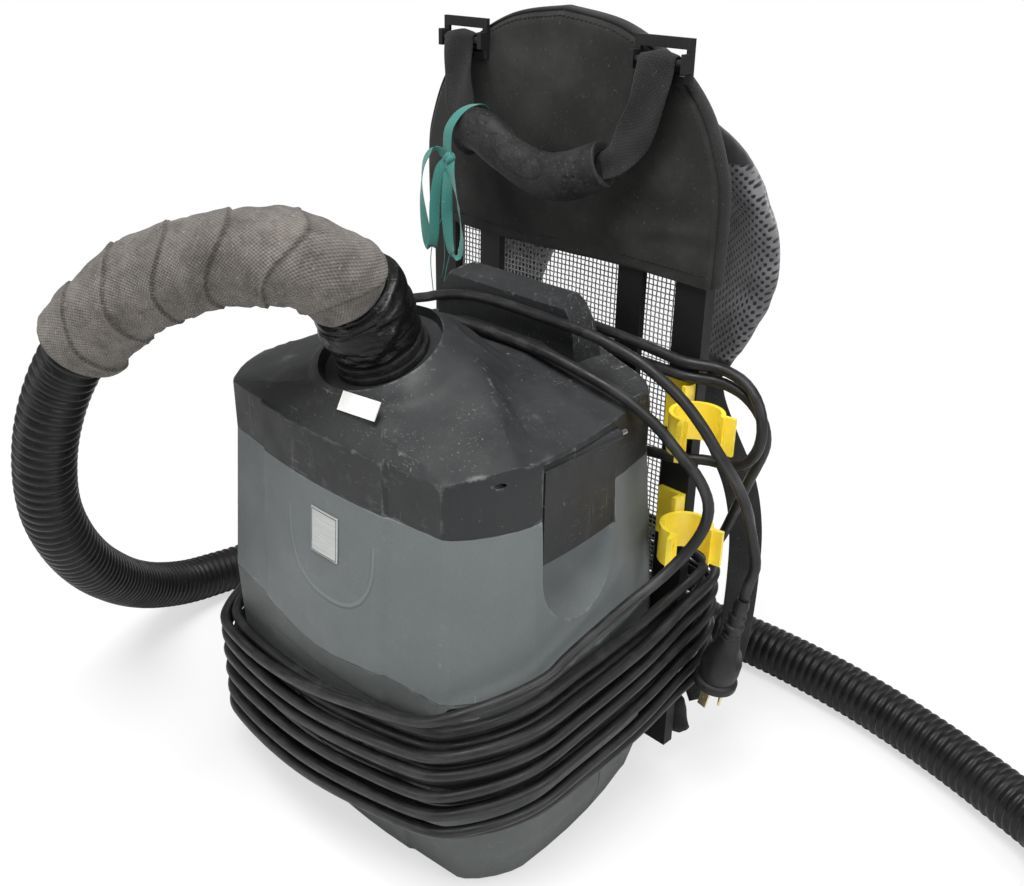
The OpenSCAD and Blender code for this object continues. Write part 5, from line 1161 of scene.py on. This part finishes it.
def make_grip():
    """Moulded grip: an oval carried along a sagging line, wider at its trumpet ends, with its relief."""
    line = smooth_line(GRIP_STOPS, 0.55)
    run = run_along(line)
    t = run / run[-1]
    _, side, cross = frames_along(line, (0, 0, 1))
    size = np.interp(t, np.linspace(0, 1, len(GRIP_SIZE)), GRIP_SIZE)
    size = (size + 0.05 * np.exp(-((t - 1) / 0.03) ** 2) + 0.04 * np.exp(-(t / 0.03) ** 2))[:, None]
    a = full_turn(150)[None, :]
    front = np.arctan2((cross * GRIP_FRONT).sum(1), (side * GRIP_FRONT).sum(1))[:, None]
    off = (a - front + np.pi) % WHOLE_TURN - np.pi
    shape = 1 + grip_relief(run[:, None], off) / GRIP_R
    ring = (line[:, None] + (shape * GRIP_WIDE * size * np.cos(a))[..., None] * side[:, None]
            + (shape * GRIP_DEEP * size * np.sin(a))[..., None] * cross[:, None])
    ends = [[line[k] + (ring[k] - line[k]) * grow + push * outward for grow, push in GRIP_END_RINGS]
            for k, outward in ((0, unit(line[0] - line[1])), (-1, unit(line[-1] - line[-2])))]
    ring = np.vstack([ends[0][::-1], ring, ends[1]])
    grip = surface("grip_rubber", ring, RUBBER, "carry_handle", close_cols=True, caps=True)
    stands_for(grip, "handle_grip")


def make_handle_straps():
    """Webbing from the grip up to the two buckles, crumpled a little along its run."""
    crumple = lambda run, c: 0.9 * np.sin(c * 3.1 + run / 9.0) + 0.7 * np.sin(run / 6.0 + 1.0) * c
    made = []
    for name, sign, down in (("strap_right", 1, STRAP_RIGHT), ("strap_left", -1, STRAP_LEFT)):
        stops = [(sign * BUCKLE_X, BAR_Y + y, HANDLE_Z + z) for y, z in OVER_BAR] + down
        made.append(band(name, stops, STRAP_HALF_W, 1.1, (1, 0, 0), "carry_handle", fold=crumple, step=2.0))
    stands_for(joined("handle_webbing", made), "handle_straps")


KNOT = np.array([-63.0, 67.5, 404.0])
KNOT_LONG, KNOT_R = 4.4, 4.2
RIBBON_TURN = [(-60, 96, 416), (-60, 98, 427), (-58, 90, 436), (-60, 77, 434), (-63, 68, 424),
               (-64, 66.5, 411), (-63, 67.5, 404)]
BOW_LEFT = KNOT + [(0, 0, 0), (-9, -4, 5), (-18, -6, -4), (-21, -6, -25), (-18, -5, -52), (-15, -4, -60),
                   (-11, -4.5, -50), (-10, -4, -28), (-6, -3, -8), (0, 0, 0)]
BOW_RIGHT = KNOT + [(0, 0, 0), (5, -3, -8), (12, -4, -26), (16, -4, -48), (13, -4, -60), (6, -4.5, -58),
                    (2, -4, -40), (1, -3, -18), (0, 0, 0)]
# Name, stops, half width, half thickness and side vectors of each ribbon
RIBBONS = (("ribbon_turn", RIBBON_TURN, 3.6, 0.32, (1, 0.1, 0.1)),
           ("ribbon_bow_left", BOW_LEFT, 3.7, 0.3,
            [(1, .2, .3), (.7, -.6, .2), (1, .3, 0), (.8, .5, .2), (1, .2, .3)]),
           ("ribbon_bow_right", BOW_RIGHT, 3.7, 0.3,
            [(1, .1, -.2), (.6, -.7, 0), (1, -.2, 0), (.7, .6, 0), (1, 0, .2)]))
# End of each frayed thread from the knot, and how far it sways to the side
FRAYS = (((-14, -6, -92), 5.0), ((3, -5, -88), -4.0), ((-6, -4, -80), 3.0))


def make_ribbon():
    """Thin ribbon tied round the grip's left end: a turn round it, two open bows, three frayed threads and a
    knot, whose radius is a ball's with three low ridges."""
    made = [band(name, stops, half_w, half_t, side, "carry_handle", TEAL, step=1.6)
            for name, stops, half_w, half_t, side in RIBBONS]
    s = np.linspace(0, 1, 20)[:, None]
    for k, (end, sway) in enumerate(FRAYS):
        path = KNOT + s * np.array(end) + sway * np.sin(s * 7 + k) * (1, 0, 0)
        made.append(tube(f"ribbon_thread_{k}", path, 0.3, 6, TEAL, "carry_handle"))
    ball = np.linspace(-1, 1, 12)[:, None]
    a = full_turn(24)[None]
    r = KNOT_R * np.sqrt(np.clip(1 - (ball * 0.97) ** 2, 0, 1)) * (1 + 0.16 * np.cos(3 * a + 5 * ball))
    tied = KNOT + np.stack([KNOT_LONG * ball + 0 * a, r * np.cos(a) * 0.8, r * np.sin(a)], axis=-1)
    made.append(surface("ribbon_knot", tied, TEAL, "carry_handle", close_cols=True, caps=True))
    stands_for(joined("ribbon_bow", made), "ribbon_tie")


STRAP_STOPS = [(92, 149.5, 281), (98, 148, 262), (112, 147, 240), (128, 147, 215), (136, 148, 185),
               (138, 149, 150), (137, 150, 110), (135, 149, 82), (132, 144, 70), (126, 134, 61.5),
               (118.5, 122.5, 58.6)]
STRAP_HALF, STRAP_HALF_T = 10.8, 0.8
BOTH_SIDES = (("right", 1), ("left", -1))


def make_webbing():
    """Straps from the shoulder pads down to the hip pads."""
    made = [band(f"shoulder_strap_{side}", np.array(STRAP_STOPS) * (sign, 1, 1), STRAP_HALF, STRAP_HALF_T,
                 (0.7 * sign, 0.7, 0)) for side, sign in BOTH_SIDES]
    stands_for(joined("shoulder_straps", made), "shoulder_webbing")


# ------------------------------------------------------------------ pads
PUFF_VOXEL, PUFF_PRESSURE, PUFF_STEPS = 5.0, 4.0, 20


def puffed(piece, most):
    """Stuffed shape: the shell is remeshed evenly, blown out as cloth for twenty steps, held to the given
    millimetres and smoothed once."""
    select_only([piece])
    even = piece.modifiers.new("even", "REMESH")
    even.mode, even.voxel_size = "VOXEL", PUFF_VOXEL * MM
    bpy.ops.object.modifier_apply(modifier="even")
    before = coordinates(piece.data)
    cloth = piece.modifiers.new("blown", "CLOTH")
    cloth.settings.use_pressure = True
    cloth.settings.uniform_pressure_force = PUFF_PRESSURE
    cloth.settings.effector_weights.gravity = 0
    cloth.settings.quality = 5
    scene = bpy.context.scene
    for step in range(1, PUFF_STEPS + 1):
        scene.frame_set(step)
    move = coordinates(piece.evaluated_get(bpy.context.evaluated_depsgraph_get()).data) - before
    piece.modifiers.remove(cloth)
    scene.frame_set(1)
    far = np.linalg.norm(move, axis=1, keepdims=True)
    move *= np.minimum(1, most * MM / np.maximum(far, 1e-9))
    move_points(piece.data, before + move)
    piece.data.update()
    piece.data.shade_smooth()
    rounding = piece.modifiers.new("rounding", "SUBSURF")
    rounding.levels = rounding.render_levels = 1
    return piece


def signed_power(x, p):
    """A power of a number's size, with the number's sign."""
    return np.sign(x) * np.abs(x) ** p


def pad_shell(stops, wide, thick, side, power=0.62, channel=None, rows=60, columns=64):
    """Rings of a pad: a rounded oblong carried along a curve, with its width and depth eased along it and
    sewn channels pressed across."""
    line = smooth_line(stops, run_along(np.asarray(stops, float))[-1] / rows)
    t = run_along(line) / run_along(line)[-1]
    knots = np.linspace(0, 1, len(wide))
    w, d = np.interp(t, knots, wide)[:, None], np.interp(t, knots, thick)[:, None]
    if channel is not None:
        d = d * channel(t)[:, None]
    tangent = unit(np.gradient(line, axis=0))
    side = np.asarray(side, float)
    side = unit(side - (tangent @ side)[:, None] * tangent)
    up = np.cross(tangent, side)
    a = full_turn(columns)[None]
    x, y = w * signed_power(np.cos(a), power), d * signed_power(np.sin(a), 0.85)
    return line[:, None] + x[..., None] * side[:, None] + y[..., None] * up[:, None]


PAD_STOPS = [(50, 123.8, 428), (55, 134, 437), (65, 147, 433), (78, 161, 415), (89, 171, 391),
             (97, 176, 365), (100, 173, 339), (98, 164, 316), (94, 156, 296), (92, 150, 282)]
PAD_WIDE = [16, 22, 28, 33, 36, 37, 36, 31, 25, 18]
PAD_THICK = [3, 5, 7, 9, 9.5, 9.5, 9.5, 8.5, 7, 5]
CHANNELS, CHANNEL_DEEP, CHANNEL_WIDE = (0.47, 0.72), 0.28, 0.018
HIP_STOPS = [(44, 118.2, 36), (66, 119.4, 36), (88, 119.6, 36), (105, 119.6, 36), (116, 120.4, 36),
             (124, 122, 37)]
HIP_WIDE, HIP_THICK = [15, 21, 21, 21, 21, 15], [4, 6, 6, 6, 6, 4]
LUMBAR_Y, LUMBAR_Z, LUMBAR_DEEP, LUMBAR_HALF_X, LUMBAR_HALF_Z = 121.8, 128, 11.2, 82, 62
QUILT_X, QUILT_WIDE, QUILT_DEEP = 30, 2.2, 1.6


def make_shoulder_pads():
    """Two long pads in spacer cloth with two channels sewn across each."""
    sewn = lambda t: 1 - sum(CHANNEL_DEEP * np.exp(-((t - at) / CHANNEL_WIDE) ** 2) for at in CHANNELS)
    for side, sign in BOTH_SIDES:
        shell = pad_shell(np.array(PAD_STOPS) * (sign, 1, 1), PAD_WIDE, PAD_THICK, (0.86 * sign, -0.5, 0.1),
                          channel=sewn)
        pad = surface(f"shoulder_pad_{side}_cloth", shell, AIR_MESH, close_cols=True, caps=True)
        puffed(pad, 2.0)
        pad.data.materials.append(PAD_BLACK)
        stands_for(pad, f"shoulder_pad_{side}")


def make_hip_pads():
    """Two short level pads beside the frame's foot, as one piece."""
    hips = []
    for side, sign in BOTH_SIDES:
        shell = pad_shell(np.array(HIP_STOPS) * (sign, 1, 1), HIP_WIDE, HIP_THICK, (0, 0, 1), power=0.5)
        hips.append(puffed(surface(f"hip_pad_{side}", shell, PAD_BLACK, close_cols=True, caps=True), 1.2))
    both = joined("hip_pads_cloth", hips)
    stands_for(both, "hip_pads")


def make_lumbar_pad():
    """Rounded cushion: a ball whose width, height and depth are flattened by powers, with three quilted
    lines pressed into its outer side."""
    v, a = np.linspace(0, np.pi, 40)[:, None], full_turn(96)[None]
    rim = signed_power(np.sin(v), 0.35)
    x = LUMBAR_HALF_X * rim * signed_power(np.cos(a), 0.55)
    z = LUMBAR_Z - LUMBAR_HALF_Z * rim * signed_power(np.sin(a), 0.55)
    y = LUMBAR_Y - LUMBAR_DEEP * signed_power(np.cos(v), 0.8) + 0 * a
    quilt = QUILT_DEEP * sum(np.exp(-(off / QUILT_WIDE) ** 2)
                             for off in (x - QUILT_X, x + QUILT_X, z - LUMBAR_Z))
    points = np.stack([x, np.where(y > 122, y - quilt, y), z], axis=-1)
    lumbar = surface("lumbar_pad_cloth", points, PAD_BLACK, close_cols=True, caps=True)
    puffed(lumbar, 1.5)
    stands_for(lumbar, "lumbar_pad")


# ------------------------------------------------------------------ dust bag
BAG_MIDDLE_Y, PLEATS_FROM_Z, PLEATS_FROM_R, PLEAT_DEEP = -8, 172, 40, 1.6


def make_dust_bag():
    """Paper bag inside the machine: the solid's own shell, its edges cut in three, with eighteen upright
    pleats pressed inwards, which fade towards its floor and its middle."""
    mesh, bm = welded("dust_bag")
    bmesh.ops.subdivide_edges(bm, edges=bm.edges, cuts=2, use_grid_fill=True)
    bm.to_mesh(mesh)
    bm.free()
    place = coordinates(mesh)
    x, y, z = (place / MM).T
    turn, far = np.arctan2(y - BAG_MIDDLE_Y, x), np.hypot(x, y - BAG_MIDDLE_Y)
    press = (PLEAT_DEEP * np.abs(np.sin(9 * turn)) ** 3 * np.clip((z - PLEATS_FROM_Z) / 30, 0, 1)
             * np.clip((far - PLEATS_FROM_R) / 15, 0, 1))
    place[:, :2] *= (1 - press / np.maximum(far, 1))[:, None]
    move_points(mesh, place)
    stands_for(placed("dust_bag_paper", mesh, BAG_PAPER, "machine"), "dust_bag")


make_dust_bag()
make_back_cover()
make_net()
make_grip()
make_handle_straps()
make_ribbon()
make_shoulder_pads()
make_hip_pads()
make_lumbar_pad()
make_webbing()


# ------------------------------------------------------------------ floor and light
WHITE = (1, 1, 1, 1)
FLOOR_GREY, FLOOR_Z, FLOOR_R = (0.86, 0.86, 0.86, 1), -0.5, 5500.0
CLEAR_FROM, WHITE_FROM, GLOW_AT_FOOT = 0.35, 1.0, 0.62
SURROUND_LIGHT = 0.34
LAMPS_AIM = Vector((0, 0, 0.25))
# Name, place in metres, width and watts of each lamp
LAMPS = (("top_lamp", (0.25, -0.5, 1.9), 1.1, 36), ("side_lamp", (1.5, 0.1, 1.1), 0.9, 13),
         ("front_lamp", (-0.9, -1.6, 0.9), 1.0, 9), ("back_lamp", (-0.4, 1.6, 1.3), 1.0, 10))


def make_floor():
    """Pale floor disc that catches the shadow and fades to white with distance."""
    a = full_turn(96)[None, :, None]
    r = np.array([1.0, FLOOR_R])[:, None, None]
    disc = np.concatenate([r * np.cos(a), r * np.sin(a), 0 * r * a + FLOOR_Z], axis=2)
    f = Finish("pale_floor", roughness=0.9, specular=0.1)
    f.colour(FLOOR_GREY)
    seen = f.add("ShaderNodeLightPath").outputs["Is Camera Ray"]
    glow = f.add("ShaderNodeEmission", {"Color": WHITE, "Strength": 1.0})
    away = f.add("ShaderNodeVectorMath", {0: f.place}, operation="LENGTH").outputs["Value"]
    share = f.times(seen, f.span(away, CLEAR_FROM, WHITE_FROM, GLOW_AT_FOOT, 1.0))
    mix = f.add("ShaderNodeMixShader", {0: share, 1: f.shader.outputs[0], 2: glow.outputs[0]})
    f.give(f.tree.nodes["Material Output"].inputs["Surface"], mix.outputs[0])
    floor = surface("floor", disc, f.material, close_cols=True)
    floor.parent = None


def make_surround():
    """White surround for what the camera sees, and a dimmer one that lights the pieces."""
    world = bpy.data.worlds.new("surround")
    bpy.context.scene.world = world
    world.use_nodes = True
    w = NodeTree(world.node_tree)
    path = w.add("ShaderNodeLightPath").outputs
    either = w.larger(path["Is Camera Ray"], path["Is Transmission Ray"])
    plain = w.add("ShaderNodeBackground", {"Color": WHITE, "Strength": SURROUND_LIGHT})
    white = w.add("ShaderNodeBackground", {"Color": WHITE, "Strength": 1.0})
    mix = w.add("ShaderNodeMixShader", {0: either, 1: plain.outputs[0], 2: white.outputs[0]})
    w.give(w.tree.nodes["World Output"].inputs["Surface"], mix.outputs[0])


def make_lamps():
    """Soft round lamps, all turned to the middle of the machine."""
    for name, place, size, watts in LAMPS:
        data = bpy.data.lights.new(name, "AREA")
        data.shape, data.size, data.energy = "DISK", size, watts
        lamp = bpy.data.objects.new(name, data)
        lamp.location = place
        lamp.rotation_euler = (LAMPS_AIM - Vector(place)).to_track_quat("-Z", "Y").to_euler()
        bpy.context.scene.collection.objects.link(lamp)


make_floor()
make_surround()
make_lamps()
bpy.context.scene.view_settings.view_transform = "Standard"
